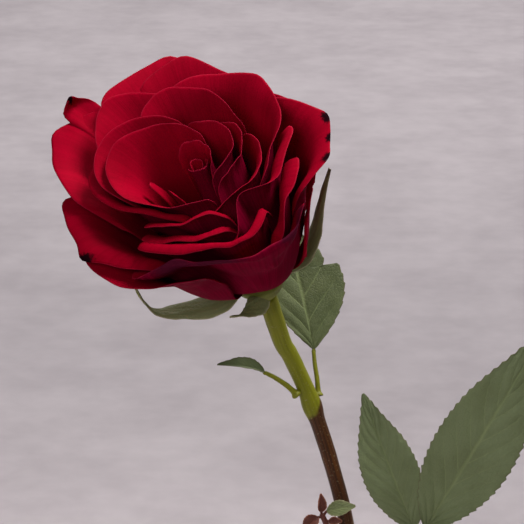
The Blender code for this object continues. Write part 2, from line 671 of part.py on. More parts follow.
def make_blades(blades, green):
    for blade in blades:
        points = blade_points(blade, blade.columns, blade.rows)
        add_object(blade.name, *sheet(points, BLADE_THICKNESS), green)


def make_stalks(green, red):
    for name, stalk in STALKS.items():
        line = stalk.line()
        share = np.linspace(0, 1, 3 * len(line) - 2)
        points = along_line(line, share)
        radii = stalk.first + (stalk.last - stalk.first) * share
        add_object(name, *tube(points, radii, STALK_SIDES), red if name == "shoot_stem" else green)


def main():
    for piece in list(bpy.data.objects):
        bpy.data.objects.remove(piece, do_unlink=True)
    finishes = {name: material(name) for name in COLOURS}
    make_vase(finishes["glaze"])
    make_stem(finishes["green_stem"])
    make_hip(finishes["sepal"])
    make_petals(finishes["petal"])
    make_sepals(finishes["sepal"])
    make_blades(BLADES, finishes["leaf"])
    make_blades(SHOOT_BLADES, finishes["shoot"])
    make_stalks(finishes["green_stem"], finishes["shoot"])


main()
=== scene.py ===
"""Looks of a cut red rose that stands in a bud vase.

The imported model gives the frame: where the stem, the hip, the stalks and the vase are. Every piece
here is built around it, in millimetres that are turned into metres when a mesh is made.
"""
import logging
import math
from collections.abc import Callable
from dataclasses import dataclass, field
from enum import Enum

import bpy
import numpy as np
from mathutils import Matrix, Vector


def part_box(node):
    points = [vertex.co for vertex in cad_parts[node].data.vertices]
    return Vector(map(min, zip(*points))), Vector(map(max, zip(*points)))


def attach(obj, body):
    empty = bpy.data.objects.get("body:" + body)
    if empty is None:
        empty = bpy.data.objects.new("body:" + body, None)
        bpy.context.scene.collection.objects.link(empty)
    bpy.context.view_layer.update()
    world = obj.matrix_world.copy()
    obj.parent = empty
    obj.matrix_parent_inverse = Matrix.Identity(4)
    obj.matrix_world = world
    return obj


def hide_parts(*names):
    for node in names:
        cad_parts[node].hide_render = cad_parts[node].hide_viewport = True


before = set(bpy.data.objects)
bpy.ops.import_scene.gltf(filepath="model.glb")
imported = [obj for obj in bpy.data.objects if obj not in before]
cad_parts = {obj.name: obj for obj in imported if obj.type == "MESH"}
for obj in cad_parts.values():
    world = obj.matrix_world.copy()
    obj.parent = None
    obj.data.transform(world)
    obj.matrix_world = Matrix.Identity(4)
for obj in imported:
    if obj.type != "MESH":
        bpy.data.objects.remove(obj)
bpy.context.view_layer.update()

MM = 0.001
FAR_FROM_EDGE = 9.0                 # millimetres, more than any rim's reach
LOG = logging.getLogger("rose")


class Slot(Enum):
    """Names of material slots."""

    GLAZE = "glaze"
    PETAL = "petal"
    STEM = "stem"
    SEPAL = "sepal"
    LEAF = "leaf"
    SHOOT = "shoot"


class Kind(Enum):
    """Shader nodes that the finishes use."""

    MATH = "ShaderNodeMath"
    MIX = "ShaderNodeMix"
    NOISE = "ShaderNodeTexNoise"
    VORONOI = "ShaderNodeTexVoronoi"
    RANGE = "ShaderNodeMapRange"
    ATTRIBUTE = "ShaderNodeAttribute"
    COMBINE = "ShaderNodeCombineXYZ"
    COORDINATES = "ShaderNodeTexCoord"
    BUMP = "ShaderNodeBump"
    GROUP = "ShaderNodeGroup"
    INPUT = "NodeGroupInput"
    OUTPUT = "NodeGroupOutput"


# ---------------------------------------------------------------- curves

def smooth_ramp(x: np.ndarray | float) -> np.ndarray | float:
    """Rise from 0 to 1 with flat ends.

    Args:
        x: place on the ramp, 0 to 1.

    Returns:
        The ramp's height there.
    """
    x = np.clip(x, 0, 1)
    return x * x * (3 - 2 * x)


def through(near: list[np.ndarray], f: np.ndarray) -> np.ndarray:
    """Smooth curve between the second and third of four values.

    Args:
        near: four neighbouring values.
        f: share of the way from the second to the third.

    Returns:
        The curve's value.
    """
    a, b, c, d = near
    return b + 0.5 * f * (c - a + f * (2 * a - 5 * b + 4 * c - d + f * (3 * (b - c) + d - a)))


def around(values: tuple, azimuth: np.ndarray) -> np.ndarray:
    """Smooth closed curve through values evenly spaced round the circle.

    Args:
        values: the values, the first at azimuth 0.
        azimuth: degrees.

    Returns:
        The value at each azimuth.
    """
    keys = np.asarray(values, float)
    count = len(keys)
    place = np.asarray(azimuth, float) / 360.0 * count
    i = np.floor(place).astype(int)
    return through([keys[(i + k) % count] for k in (-1, 0, 1, 2)], place - i)


def along_line(values: tuple | np.ndarray, share: np.ndarray) -> np.ndarray:
    """Smooth open curve through evenly spaced values or points.

    Args:
        values: the values or points.
        share: place on the line, 0 to 1.

    Returns:
        The value or point at each share.
    """
    keys = np.asarray(values, float)
    last = len(keys) - 1
    place = np.clip(np.asarray(share, float), 0, 1) * last
    i = np.clip(np.floor(place).astype(int), 0, last - 1)
    f = place - i
    if keys.ndim > 1:
        f = f[..., None]
    return through([keys[np.clip(i + k, 0, last)] for k in (-1, 0, 1, 2)], f)


def unit(vector: np.ndarray | tuple) -> np.ndarray:
    """The vector at length 1."""
    return np.asarray(vector, float) / np.linalg.norm(vector)


def direction(heading: float, tilt: float) -> np.ndarray:
    """Unit vector tilted from vertical towards a heading, both in degrees."""
    h, t = math.radians(heading), math.radians(tilt)
    return np.array((math.sin(t) * math.cos(h), math.sin(t) * math.sin(h), math.cos(t)))


def even_line(points: np.ndarray, count: int) -> np.ndarray:
    """Points evenly spaced by length on a smooth curve through others.

    Args:
        points: the curve's own points.
        count: how many to return.

    Returns:
        The evenly spaced points.
    """
    fine = along_line(points, np.linspace(0, 1, 8 * len(points)))
    lengths = np.concatenate([[0], np.cumsum(np.linalg.norm(np.diff(fine, axis=0), axis=1))])
    even = np.linspace(0, lengths[-1], count)
    return np.stack([np.interp(even, lengths, fine[:, k]) for k in range(3)], 1)


def softened(grid: np.ndarray, passes: int) -> np.ndarray:
    """Average each cell of a grid with its neighbours, with the edges kept.

    Args:
        grid: values on rows and columns.
        passes: how many times.

    Returns:
        The smoother grid.
    """
    for _ in range(passes):
        padded = np.pad(grid, 1, mode="reflect", reflect_type="odd")
        grid = (padded[:-2, 1:-1] + padded[2:, 1:-1] + padded[1:-1, :-2] + padded[1:-1, 2:] + 2 * grid) / 6
    return grid


def ripple(seed: int, u: np.ndarray, v: np.ndarray, waves: int = 4) -> np.ndarray:
    """Smooth unevenness between -1 and 1 that is the same for the same seed.

    Args:
        seed: which unevenness.
        u: place across.
        v: place along.
        waves: how many waves are added up.

    Returns:
        The unevenness at each place.
    """
    chance = np.random.default_rng(seed)
    total = np.zeros(np.broadcast(u, v).shape)
    for k in range(waves):
        fu, fv = chance.uniform(-1, 1, 2) * (k + 1.2)
        total = total + np.sin(2 * math.pi * (fu * u + fv * v + chance.uniform())) / (k + 1.5)
    return total / 1.4


# ---------------------------------------------------------------- meshes

def make_piece(name: str, points: np.ndarray, faces: list,
               marks: dict[str, np.ndarray]) -> bpy.types.Object:
    """Make a smooth-shaded object.

    Args:
        name: the piece's name.
        points: vertices in millimetres.
        faces: tuples of vertex numbers, pointing out.
        marks: named values for each vertex, which its finish reads.

    Returns:
        The object, linked to the scene.
    """
    mesh = bpy.data.meshes.new(name)
    mesh.from_pydata((np.asarray(points) * MM).tolist(), [], faces)
    mesh.validate()
    mesh.shade_smooth()
    for mark, values in marks.items():
        attribute = mesh.attributes.new(mark, "FLOAT", "POINT")
        attribute.data.foreach_set("value", np.asarray(values, np.float32).ravel())
    piece = bpy.data.objects.new(name, mesh)
    bpy.context.scene.collection.objects.link(piece)
    return piece


def grid_faces(rows: int, columns: int, start: int, flip: bool, closed: bool = False) -> list:
    """Four-sided faces between neighbouring points of a grid.

    Args:
        rows: number of rows.
        columns: number of columns.
        start: number of the grid's first vertex.
        flip: whether the faces point the other way.
        closed: whether the last column joins the first.

    Returns:
        The faces.
    """
    faces = []
    for j in range(rows - 1):
        for i in range(columns if closed else columns - 1):
            n = (i + 1) % columns
            a, b = start + j * columns + i, start + j * columns + n
            face = (a, b, b + columns, a + columns)
            faces.append(face[::-1] if flip else face)
    return faces


def make_sheet(name: str, grid: np.ndarray, thickness: np.ndarray, marks: dict) -> bpy.types.Object:
    """Closed thin solid around a grid of points, with its two sides told apart by the mark "inner".

    Args:
        name: the piece's name.
        grid: points of the middle surface, rows by columns by 3.
        thickness: thickness at each point.
        marks: values at each point of the grid.

    Returns:
        The object.
    """
    normals = np.cross(np.gradient(grid, axis=1), np.gradient(grid, axis=0))
    normals /= np.linalg.norm(normals, axis=-1, keepdims=True) + 1e-12
    offset = normals * thickness[..., None] / 2
    rows, columns = grid.shape[:2]
    points = np.concatenate([(grid + offset).reshape(-1, 3), (grid - offset).reshape(-1, 3)])
    count = rows * columns
    faces = grid_faces(rows, columns, 0, False) + grid_faces(rows, columns, count, True)
    index = np.arange(count).reshape(rows, columns)
    edge = list(index[0, :]) + list(index[1:, -1]) + list(index[-1, -2::-1]) + list(index[-2:0:-1, 0])
    for a, b in zip(edge, edge[1:] + edge[:1]):
        faces.append((a, a + count, b + count, b))
    both = {mark: np.tile(np.asarray(values, float).ravel(), 2) for mark, values in marks.items()}
    both["inner"] = np.repeat([0.0, 1.0], count)
    faces = [tuple(int(k) for k in face) for face in faces]
    return make_piece(name, points, faces, both)


def make_tube(name: str, line: np.ndarray, radii: np.ndarray, marks: dict[str, np.ndarray],
              end_normal: np.ndarray | None = None) -> bpy.types.Object:
    """Rod along a line, closed by domed ends.

    Args:
        name: the piece's name.
        line: points of the middle line.
        radii: radius at each point and side, points by sides.
        marks: values at each point of the line, or at each point and side.
        end_normal: direction that the last ring faces, if not the line's own.

    Returns:
        The object.
    """
    tangents = np.gradient(line, axis=0)
    tangents /= np.linalg.norm(tangents, axis=1, keepdims=True)
    if end_normal is not None:
        tangents[-1] = end_normal
    rings, sides = radii.shape
    side = unit(np.cross(tangents[0], (0.0, 1.0, 0.0)))
    points = []
    for point, tangent, radius in zip(line, tangents, radii):
        side = unit(side - np.dot(side, tangent) * tangent)
        other = np.cross(tangent, side)
        for k in range(sides):
            a = 2 * math.pi * k / sides
            points.append(point + radius[k] * (math.cos(a) * side + math.sin(a) * other))
    dome = 0.25
    points.append(line[0] - tangents[0] * radii[0].mean() * dome)
    points.append(line[-1] + tangents[-1] * radii[-1].mean() * (0.0 if end_normal is not None else dome))
    faces = grid_faces(rings, sides, 0, False, closed=True)
    first, last = rings * sides, rings * sides + 1
    for k in range(sides):
        n = (k + 1) % sides
        faces.append((n, k, first))
        faces.append(((rings - 1) * sides + k, (rings - 1) * sides + n, last))
    full = {}
    for mark, values in marks.items():
        values = np.asarray(values, float)
        ringed = values if values.ndim == 2 else np.tile(values[:, None], sides)
        full[mark] = np.concatenate([ringed.ravel(), [ringed[0].mean(), ringed[-1].mean()]])
    turn = np.tile(np.arange(sides) / sides, rings)
    full["turn"] = np.concatenate([turn, [0.0, 0.0]])
    return make_piece(name, np.array(points), faces, full)


def plain_marks(share: np.ndarray) -> dict[str, np.ndarray]:
    """Marks of a rod or turned body that has no rim, no dry tip and no inner side.

    Args:
        share: place along it, 0 to 1.

    Returns:
        The marks by name.
    """
    none = np.zeros_like(share)
    return {"along": share, "across": none, "edge": none + FAR_FROM_EDGE, "dry": none, "inner": none}


def settle(piece: bpy.types.Object, slot: Slot, finish: bpy.types.Material, *nodes: str) -> None:
    """Dress a piece, put it on the part's body and let it stand for its CAD nodes.

    Args:
        piece: the object.
        slot: not used.
        finish: its material.
        nodes: the CAD nodes that it stands for.
    """
    piece.data.materials.append(finish)
    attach(piece, "root")
    if nodes:
        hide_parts(*nodes)
    LOG.info("%s: %d faces, %s, for %s", piece.name, len(piece.data.polygons), finish.name,
             ", ".join(nodes) or "no CAD node")


def node_line(node: str, levels: int, axis: tuple = (0.0, 0.0, 1.0)) -> np.ndarray:
    """Middle line of a CAD rod, found by cutting it square to an axis.

    Args:
        node: the CAD node.
        levels: how many cuts.
        axis: the way it runs.

    Returns:
        Points in millimetres from its first end to its last.
    """
    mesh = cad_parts[node].data
    points = np.array([v.co for v in mesh.vertices], float).reshape(-1, 3) / MM
    edges = np.array([e.vertices for e in mesh.edges], int).reshape(-1, 2)
    height = points @ unit(axis)
    ha, hb = height[edges[:, 0]], height[edges[:, 1]]
    line = []
    for level in np.linspace(height.min(), height.max(), levels + 2)[1:-1]:
        crossing = (ha - level) * (hb - level) < 0
        a, b = points[edges[crossing, 0]], points[edges[crossing, 1]]
        share = (level - ha[crossing]) / (hb[crossing] - ha[crossing])
        cut = a + (b - a) * share[:, None]
        line.append((cut.min(0) + cut.max(0)) / 2)
    return np.array(line)


# ---------------------------------------------------------------- shader nodes

class Board:
    """A node tree with short calls for adding and joining its nodes."""

    def __init__(self, tree: bpy.types.NodeTree) -> None:
        """Start with no nodes.

        Args:
            tree: the tree of a material or of a group.
        """
        self.tree = tree
        tree.nodes.clear()

    def put(self, kind: Kind, **settings: object) -> bpy.types.Node:
        """Add a node.

        Args:
            kind: which node.
            settings: its properties by name.

        Returns:
            The node.
        """
        node = self.tree.nodes.new(kind.value)
        for name, value in settings.items():
            setattr(node, name, value)
        return node

    def feed(self, socket: bpy.types.NodeSocket, value: object) -> None:
        """Link a socket to another, or give it a value.

        Args:
            socket: the input.
            value: an output socket, a colour or a number.
        """
        if isinstance(value, bpy.types.NodeSocket):
            self.tree.links.new(value, socket)
        elif isinstance(value, tuple) and len(value) == 3 and socket.type == "RGBA":
            socket.default_value = (*value, 1.0)
        else:
            socket.default_value = value

    def math(self, operation: str, a: object, b: object = 0.0, clamp: bool = False) -> bpy.types.NodeSocket:
        """Work out one sum on two values.

        Args:
            operation: Blender's name of it.
            a: first value or socket.
            b: second value or socket.
            clamp: whether the result stays within 0 to 1.

        Returns:
            The result's socket.
        """
        node = self.put(Kind.MATH, operation=operation, use_clamp=clamp)
        self.feed(node.inputs[0], a)
        self.feed(node.inputs[1], b)
        return node.outputs[0]

    def blend(self, share: object, a: object, b: object, mode: str = "MIX") -> bpy.types.NodeSocket:
        """Mix two colours.

        Args:
            share: how much of the second.
            a: first colour.
            b: second colour.
            mode: Blender's name of the mix.

        Returns:
            The mixed colour's socket.
        """
        node = self.put(Kind.MIX, data_type="RGBA", blend_type=mode, clamp_factor=True)
        self.feed(node.inputs[0], share)
        self.feed(node.inputs[6], a)
        self.feed(node.inputs[7], b)
        return node.outputs[2]

    def span(self, value: object, low: float, high: float, out_low: float = 0.0,
             out_high: float = 1.0) -> bpy.types.NodeSocket:
        """Carry a value smoothly from one range to another.

        Args:
            value: the value.
            low: where the range starts.
            high: where it ends.
            out_low: result at the start.
            out_high: result at the end.

        Returns:
            The result's socket.
        """
        node = self.put(Kind.RANGE, interpolation_type="SMOOTHSTEP")
        for socket, given in zip(node.inputs, (value, low, high, out_low, out_high)):
            self.feed(socket, given)
        return node.outputs[0]

    def noise(self, vector: object, scale: object, detail: float = 3.0) -> bpy.types.NodeSocket:
        """Cloudy noise around 0.5.

        Args:
            vector: where it is read.
            scale: how fine it is.
            detail: how many finer layers it has.

        Returns:
            The noise's socket.
        """
        node = self.put(Kind.NOISE)
        self.feed(node.inputs["Vector"], vector)
        self.feed(node.inputs["Scale"], scale)
        node.inputs["Detail"].default_value = detail
        return node.outputs[0]

    def mark(self, name: str) -> bpy.types.NodeSocket:
        """A value that the mesh carries."""
        return self.put(Kind.ATTRIBUTE, attribute_name=name).outputs["Fac"]

    def place(self) -> bpy.types.NodeSocket:
        """The point in the object's own coordinates."""
        return self.put(Kind.COORDINATES).outputs["Object"]

    def vector(self, x: object, y: object, z: object = 0.0) -> bpy.types.NodeSocket:
        """Join three values.

        Args:
            x: first value or socket.
            y: second value or socket.
            z: third value or socket.

        Returns:
            The vector's socket.
        """
        node = self.put(Kind.COMBINE)
        for socket, value in zip(node.inputs, (x, y, z)):
            self.feed(socket, value)
        return node.outputs[0]

    def group(self, tree: bpy.types.NodeTree, **values: object) -> dict[str, bpy.types.NodeSocket]:
        """Place a group with its own values.

        Args:
            tree: the group.
            values: its inputs by name.

        Returns:
            Its outputs by name.
        """
        node = self.put(Kind.GROUP, node_tree=tree)
        for name, value in values.items():
            self.feed(node.inputs[name], value)
        return {socket.name: socket for socket in node.outputs}


def start_group(name: str, inputs: dict[str, float],
                outputs: tuple[str, ...]) -> tuple[Board, dict, bpy.types.Node]:
    """Make an empty group of values.

    Args:
        name: the group's name.
        inputs: its inputs with their usual values.
        outputs: names of its outputs.

    Returns:
        Its board, its input sockets by name and its output node.
    """
    tree = bpy.data.node_groups.new(name, "ShaderNodeTree")
    for label, usual in inputs.items():
        socket = tree.interface.new_socket(name=label, in_out="INPUT", socket_type="NodeSocketFloat")
        socket.default_value = usual
    for label in outputs:
        tree.interface.new_socket(name=label, in_out="OUTPUT", socket_type="NodeSocketFloat")
    board = Board(tree)
    entry = board.put(Kind.INPUT)
    given = {socket.name: socket for socket in entry.outputs if socket.name}
    return board, given, board.put(Kind.OUTPUT)


class Effects:
    """Shader groups that several finishes share, each built once."""

    def __init__(self) -> None:
        """Build every group."""
        self.mottle = self.build_mottle()
        self.fibres = self.build_fibres()
        self.leaf_veins = self.build_leaf_veins()
        self.edge_band = self.build_edge_band()

    @staticmethod
    def build_mottle() -> bpy.types.NodeTree:
        """Cloudy unevenness at two scales.

        Returns:
            The group, with outputs Broad and Fine.
        """
        inputs = {"Broad Scale": 60.0, "Fine Scale": 600.0}
        board, given, out = start_group("mottle", inputs, ("Broad", "Fine"))
        place = board.place()
        broad = board.noise(place, given["Broad Scale"], 4.0)
        fine = board.noise(place, given["Fine Scale"], 2.0)
        board.feed(out.inputs["Broad"], board.span(broad, 0.3, 0.7))
        board.feed(out.inputs["Fine"], board.span(fine, 0.25, 0.75))
        return board.tree

    @staticmethod
    def build_fibres() -> bpy.types.NodeTree:
        """Thin streaks that run the long way of a petal, stem or sepal.

        Returns:
            The group, with outputs Streak and Ridge.
        """
        inputs = {"Across": 0.0, "Along": 0.0, "Count": 40.0, "Stretch": 2.0}
        board, given, out = start_group("fibres", inputs, ("Streak", "Ridge"))
        wide = board.math("MULTIPLY", given["Across"], given["Count"])
        long = board.math("MULTIPLY", given["Along"], given["Stretch"])
        streak = board.noise(board.vector(wide, long), 1.0, 2.0)
        ridge = board.noise(board.vector(board.math("MULTIPLY", wide, 3.0), long), 1.0, 1.0)
        board.feed(out.inputs["Streak"], board.span(streak, 0.32, 0.68))
        board.feed(out.inputs["Ridge"], ridge)
        return board.tree

    @staticmethod
    def build_leaf_veins() -> bpy.types.NodeTree:
        """Midrib and forward-leaning side veins of a leaf, with the net between them.

        Returns:
            The group, with outputs Vein and Net.
        """
        inputs = {"Across": 0.0, "Along": 0.0, "Pairs": 8.0, "Lean": 2.2, "Width": 0.1}
        board, given, out = start_group("leaf_veins", inputs, ("Vein", "Net"))
        side = board.math("ABSOLUTE", given["Across"])
        midrib = board.span(side, 0.075, 0.02)
        other = board.math("MULTIPLY", board.math("GREATER_THAN", given["Across"], 0.0), 0.5)
        sweep = board.math("MULTIPLY", side, given["Lean"])
        phase = board.math("SUBTRACT", board.math("MULTIPLY", given["Along"], given["Pairs"]), sweep)
        cycle = board.math("FRACT", board.math("ADD", board.math("ADD", phase, other), 20.0))
        near = board.math("ABSOLUTE", board.math("SUBTRACT", cycle, 0.5))
        line = board.math("SUBTRACT", 1.0, board.math("DIVIDE", near, given["Width"]), clamp=True)
        fading = board.span(side, 1.0, 0.25)
        branch = board.math("MULTIPLY", line, fading)
        cells = board.put(Kind.VORONOI, feature="DISTANCE_TO_EDGE")
        long = board.math("MULTIPLY", given["Along"], 3.0)
        board.feed(cells.inputs["Vector"], board.vector(given["Across"], long))
        board.feed(cells.inputs["Scale"], 13.0)
        board.feed(out.inputs["Vein"], board.math("MAXIMUM", midrib, branch))
        board.feed(out.inputs["Net"], board.span(cells.outputs[0], 0.0, 0.12))
        return board.tree

    @staticmethod
    def build_edge_band() -> bpy.types.NodeTree:
        """Band along an edge whose width wanders.

        Returns:
            The group, with the output Rim.
        """
        inputs = {"Edge": 10.0, "Width": 0.5, "Scale": 300.0}
        board, given, out = start_group("edge_band", inputs, ("Rim",))
        uneven = board.noise(board.place(), given["Scale"], 3.0)
        reach = board.math("MULTIPLY", given["Width"], board.math("MULTIPLY", uneven, 2.0))
        share = board.math("DIVIDE", given["Edge"], board.math("MAXIMUM", reach, 0.01))
        board.feed(out.inputs["Rim"], board.math("SUBTRACT", 1.0, share, clamp=True))
        return board.tree


def start_material(name: str) -> tuple[bpy.types.Material, Board, bpy.types.Node]:
    """Make a material with its shader joined to the output.

    Args:
        name: the material's name.

    Returns:
        The material, its board and its shader.
    """
    made = bpy.data.materials.new(name)
    made.use_nodes = True
    board = Board(made.node_tree)
    shader = made.node_tree.nodes.new("ShaderNodeBsdfPrincipled")
    output = made.node_tree.nodes.new("ShaderNodeOutputMaterial")
    made.node_tree.links.new(shader.outputs["BSDF"], output.inputs["Surface"])
    return made, board, shader


def add_bump(board: Board, shader: bpy.types.Node, height: bpy.types.NodeSocket, depth: float,
             strength: float = 1.0) -> None:
    """Raise the surface in the shading.

    Args:
        board: the material's board.
        shader: its shader.
        height: height between 0 and 1.
        depth: what a height of 1 measures, in millimetres.
        strength: how much of it shows.
    """
    bump = board.put(Kind.BUMP)
    bump.inputs["Strength"].default_value = strength
    bump.inputs["Distance"].default_value = depth * MM
    board.feed(bump.inputs["Height"], height)
    board.feed(shader.inputs["Normal"], bump.outputs["Normal"])


Colour = tuple[float, float, float]


@dataclass(frozen=True)
class PetalFinish:
    """Crimson petal: velvet inside with painted shade towards the claw, darker and streaked outside, pale
    rims and burnt tips.
    """

    bright: Colour = (0.36, 0.0004, 0.016)
    # painted shade deep in the cup, also the darker tone that the mottle and streaks blend towards
    deep_tone_and_painted_shade: Colour = (0.13, 0.0002, 0.004)
    outside: Colour = (0.20, 0.0003, 0.020)
    outside_deep: Colour = (0.085, 0.0002, 0.007)
    rim: Colour = (0.46, 0.022, 0.055)
    burnt: Colour = (0.010, 0.001, 0.003)
    withered: Colour = (0.075, 0.005, 0.018)
    roughness: float = 0.7
    specular: float = 0.01

    def build(self, effects: Effects) -> bpy.types.Material:
        """Make the material.

        Args:
            effects: the shared groups.

        Returns:
            The material.
        """
        made, board, shader = start_material("petal_crimson")
        across, along = board.mark("across"), board.mark("along")
        streaks = board.group(effects.fibres, Across=across, Along=along, Count=34.0, Stretch=1.6)
        mottle = board.group(effects.mottle, **{"Broad Scale": 55.0, "Fine Scale": 900.0})
        # painted shade: the inside is painted darker from the rim down to the claw, where the petals nest
        painted_light_share = board.span(along, 0.3, 0.85)
        inside = board.blend(painted_light_share, self.deep_tone_and_painted_shade, self.bright)
        inside = board.blend(board.math("MULTIPLY", mottle["Broad"], 0.4), inside, self.deep_tone_and_painted_shade)
        inside = board.blend(board.math("MULTIPLY", streaks["Streak"], 0.22), inside, self.deep_tone_and_painted_shade)
        outer = board.blend(board.math("MULTIPLY", streaks["Streak"], 0.6), self.outside, self.outside_deep)
        outer = board.blend(board.math("MULTIPLY", mottle["Broad"], 0.35), outer, self.outside_deep)
        colour = board.blend(board.mark("inner"), outer, inside)
        # paler red band along the petal's rim, on both sides
        rim = board.group(effects.edge_band, Edge=board.mark("edge"), Width=0.42, Scale=160.0)
        colour = board.blend(board.math("MULTIPLY", rim["Rim"], 0.38), colour, self.rim)
        wither = board.math("MULTIPLY", board.mark("wither"), mottle["Broad"])
        colour = board.blend(board.span(wither, 0.12, 0.55), colour, self.withered)
        burn = board.math("ADD", board.mark("burn"), board.math("MULTIPLY", mottle["Fine"], 0.25))
        colour = board.blend(board.span(burn, 0.42, 0.8), colour, self.burnt)
        board.feed(shader.inputs["Base Color"], colour)
        shader.inputs["Roughness"].default_value = self.roughness
        shader.inputs["Specular IOR Level"].default_value = self.specular
        relief = board.math("ADD", streaks["Ridge"], board.math("MULTIPLY", mottle["Fine"], 0.35))
        add_bump(board, shader, relief, 0.07)
        return made


@dataclass(frozen=True)
class LeafFinish:
    """Matt grey-green blade with lighter veins and a paler underside."""

    name: str = "leaf_green"
    green: Colour = (0.185, 0.225, 0.105)
    dark: Colour = (0.150, 0.180, 0.078)
    vein: Colour = (0.250, 0.300, 0.125)
    under: Colour = (0.230, 0.275, 0.145)
    margin: Colour = (0.120, 0.075, 0.035)
    pairs: float = 9.0
    lean: float = 2.6
    roughness: float = 0.58

    def build(self, effects: Effects) -> bpy.types.Material:
        """Make the material.

        Args:
            effects: the shared groups.

        Returns:
            The material.
        """
        made, board, shader = start_material(self.name)
        veins = board.group(effects.leaf_veins, Across=board.mark("across"), Along=board.mark("along"),
                            Pairs=self.pairs, Lean=self.lean, Width=0.07)
        mottle = board.group(effects.mottle, **{"Broad Scale": 90.0, "Fine Scale": 1400.0})
        colour = board.blend(mottle["Broad"], self.green, self.dark)
        colour = board.blend(board.math("MULTIPLY", mottle["Fine"], 0.18), colour, self.vein)
        # painted shade: the sunken creases of the vein net are painted darker
        painted_crease_shade = board.math("SUBTRACT", 1.0, veins["Net"])
        colour = board.blend(board.math("MULTIPLY", painted_crease_shade, 0.15), colour, self.dark)
        colour = board.blend(board.math("MULTIPLY", veins["Vein"], 0.6), colour, self.vein)
        colour = board.blend(board.math("MULTIPLY", board.mark("inner"), 0.7), colour, self.under)
        rim = board.group(effects.edge_band, Edge=board.mark("edge"), Width=0.5, Scale=200.0)
        colour = board.blend(board.math("MULTIPLY", rim["Rim"], 0.5), colour, self.margin)
        board.feed(shader.inputs["Base Color"], colour)
        rough = board.span(mottle["Fine"], 0.0, 1.0, self.roughness - 0.06, self.roughness + 0.08)
        board.feed(shader.inputs["Roughness"], rough)
        shader.inputs["Specular IOR Level"].default_value = 0.3
        puffed = board.math("SUBTRACT", veins["Net"], board.math("MULTIPLY", veins["Vein"], 0.8))
        add_bump(board, shader, puffed, 0.08)
        return made


@dataclass(frozen=True)
class StemFinish:
    """Smooth stem: brown-red and wood-like low down, yellow-green above the flower's own node."""

    name: str = "stem_skin"
    green: Colour = (0.215, 0.215, 0.010)
    green_deep: Colour = (0.120, 0.130, 0.006)
    brown: Colour = (0.105, 0.036, 0.008)
    brown_deep: Colour = (0.030, 0.010, 0.003)
    olive: Colour = (0.120, 0.120, 0.022)
    speck: Colour = (0.30, 0.25, 0.12)
    roughness: float = 0.42

    def build(self, effects: Effects) -> bpy.types.Material:
        """Make the material.

        Args:
            effects: the shared groups.

        Returns:
            The material.
        """
        made, board, shader = start_material(self.name)
        young, turn = board.mark("young"), board.mark("turn")
        along = board.mark("along")
        fibres = board.group(effects.fibres, Across=turn, Along=along, Count=26.0, Stretch=9.0)
        mottle = board.group(effects.mottle, **{"Broad Scale": 110.0, "Fine Scale": 1500.0})
        green = board.blend(board.math("MULTIPLY", fibres["Streak"], 0.6), self.green, self.green_deep)
        brown = board.blend(board.math("MULTIPLY", fibres["Streak"], 0.8), self.brown, self.brown_deep)
        brown = board.blend(board.math("MULTIPLY", mottle["Broad"], 0.35), brown, self.brown_deep)
        low = board.span(along, 0.62, 0.25)
        brown = board.blend(low, brown, self.olive)
        ragged = board.math("ADD", young, board.math("MULTIPLY", mottle["Broad"], 0.12))
        colour = board.blend(board.span(ragged, 0.5, 0.62), brown, green)
        colour = board.blend(board.span(mottle["Fine"], 0.86, 1.0, 0.0, 0.5), colour, self.speck)
        board.feed(shader.inputs["Base Color"], colour)
        rough = board.span(fibres["Streak"], 0.0, 1.0, self.roughness - 0.06, self.roughness + 0.1)
        board.feed(shader.inputs["Roughness"], rough)
        shader.inputs["Specular IOR Level"].default_value = 0.2
        grain = board.math("MULTIPLY", mottle["Fine"], 0.3)
        add_bump(board, shader, board.math("ADD", fibres["Ridge"], grain), 0.1)
        return made


@dataclass(frozen=True)
class SepalFinish:
    """Green sepal or hip with fine streaks, a pale edge and a dried brown tip."""

    name: str = "sepal_green"
    green: Colour = (0.200, 0.210, 0.018)
    dark: Colour = (0.085, 0.095, 0.010)
    edge: Colour = (0.42, 0.38, 0.22)
    inner: Colour = (0.22, 0.23, 0.12)
    tip: Colour = (0.110, 0.070, 0.035)
    roughness: float = 0.5

    def build(self, effects: Effects) -> bpy.types.Material:
        """Make the material.

        Args:
            effects: the shared groups.

        Returns:
            The material.
        """
        made, board, shader = start_material(self.name)
        along = board.mark("along")
        across = board.mark("across")
        fibres = board.group(effects.fibres, Across=across, Along=along, Count=7.0, Stretch=3.0)
        mottle = board.group(effects.mottle, **{"Broad Scale": 140.0, "Fine Scale": 1200.0})
        colour = board.blend(board.math("MULTIPLY", fibres["Streak"], 0.7), self.green, self.dark)
        colour = board.blend(board.math("MULTIPLY", board.mark("inner"), 0.6), colour, self.inner)
        rim = board.group(effects.edge_band, Edge=board.mark("edge"), Width=0.55, Scale=220.0)
        colour = board.blend(board.math("MULTIPLY", rim["Rim"], 0.9), colour, self.edge)
        dried = board.math("ADD", board.mark("dry"), board.math("MULTIPLY", mottle["Broad"], 0.2))
        colour = board.blend(board.span(dried, 0.6, 0.95), colour, self.tip)
        board.feed(shader.inputs["Base Color"], colour)
        board.feed(shader.inputs["Roughness"], board.span(mottle["Fine"], 0.0, 1.0, self.roughness, 0.7))
        shader.inputs["Specular IOR Level"].default_value = 0.3
        add_bump(board, shader, board.math("ADD", fibres["Ridge"], mottle["Fine"]), 0.1)
        return made


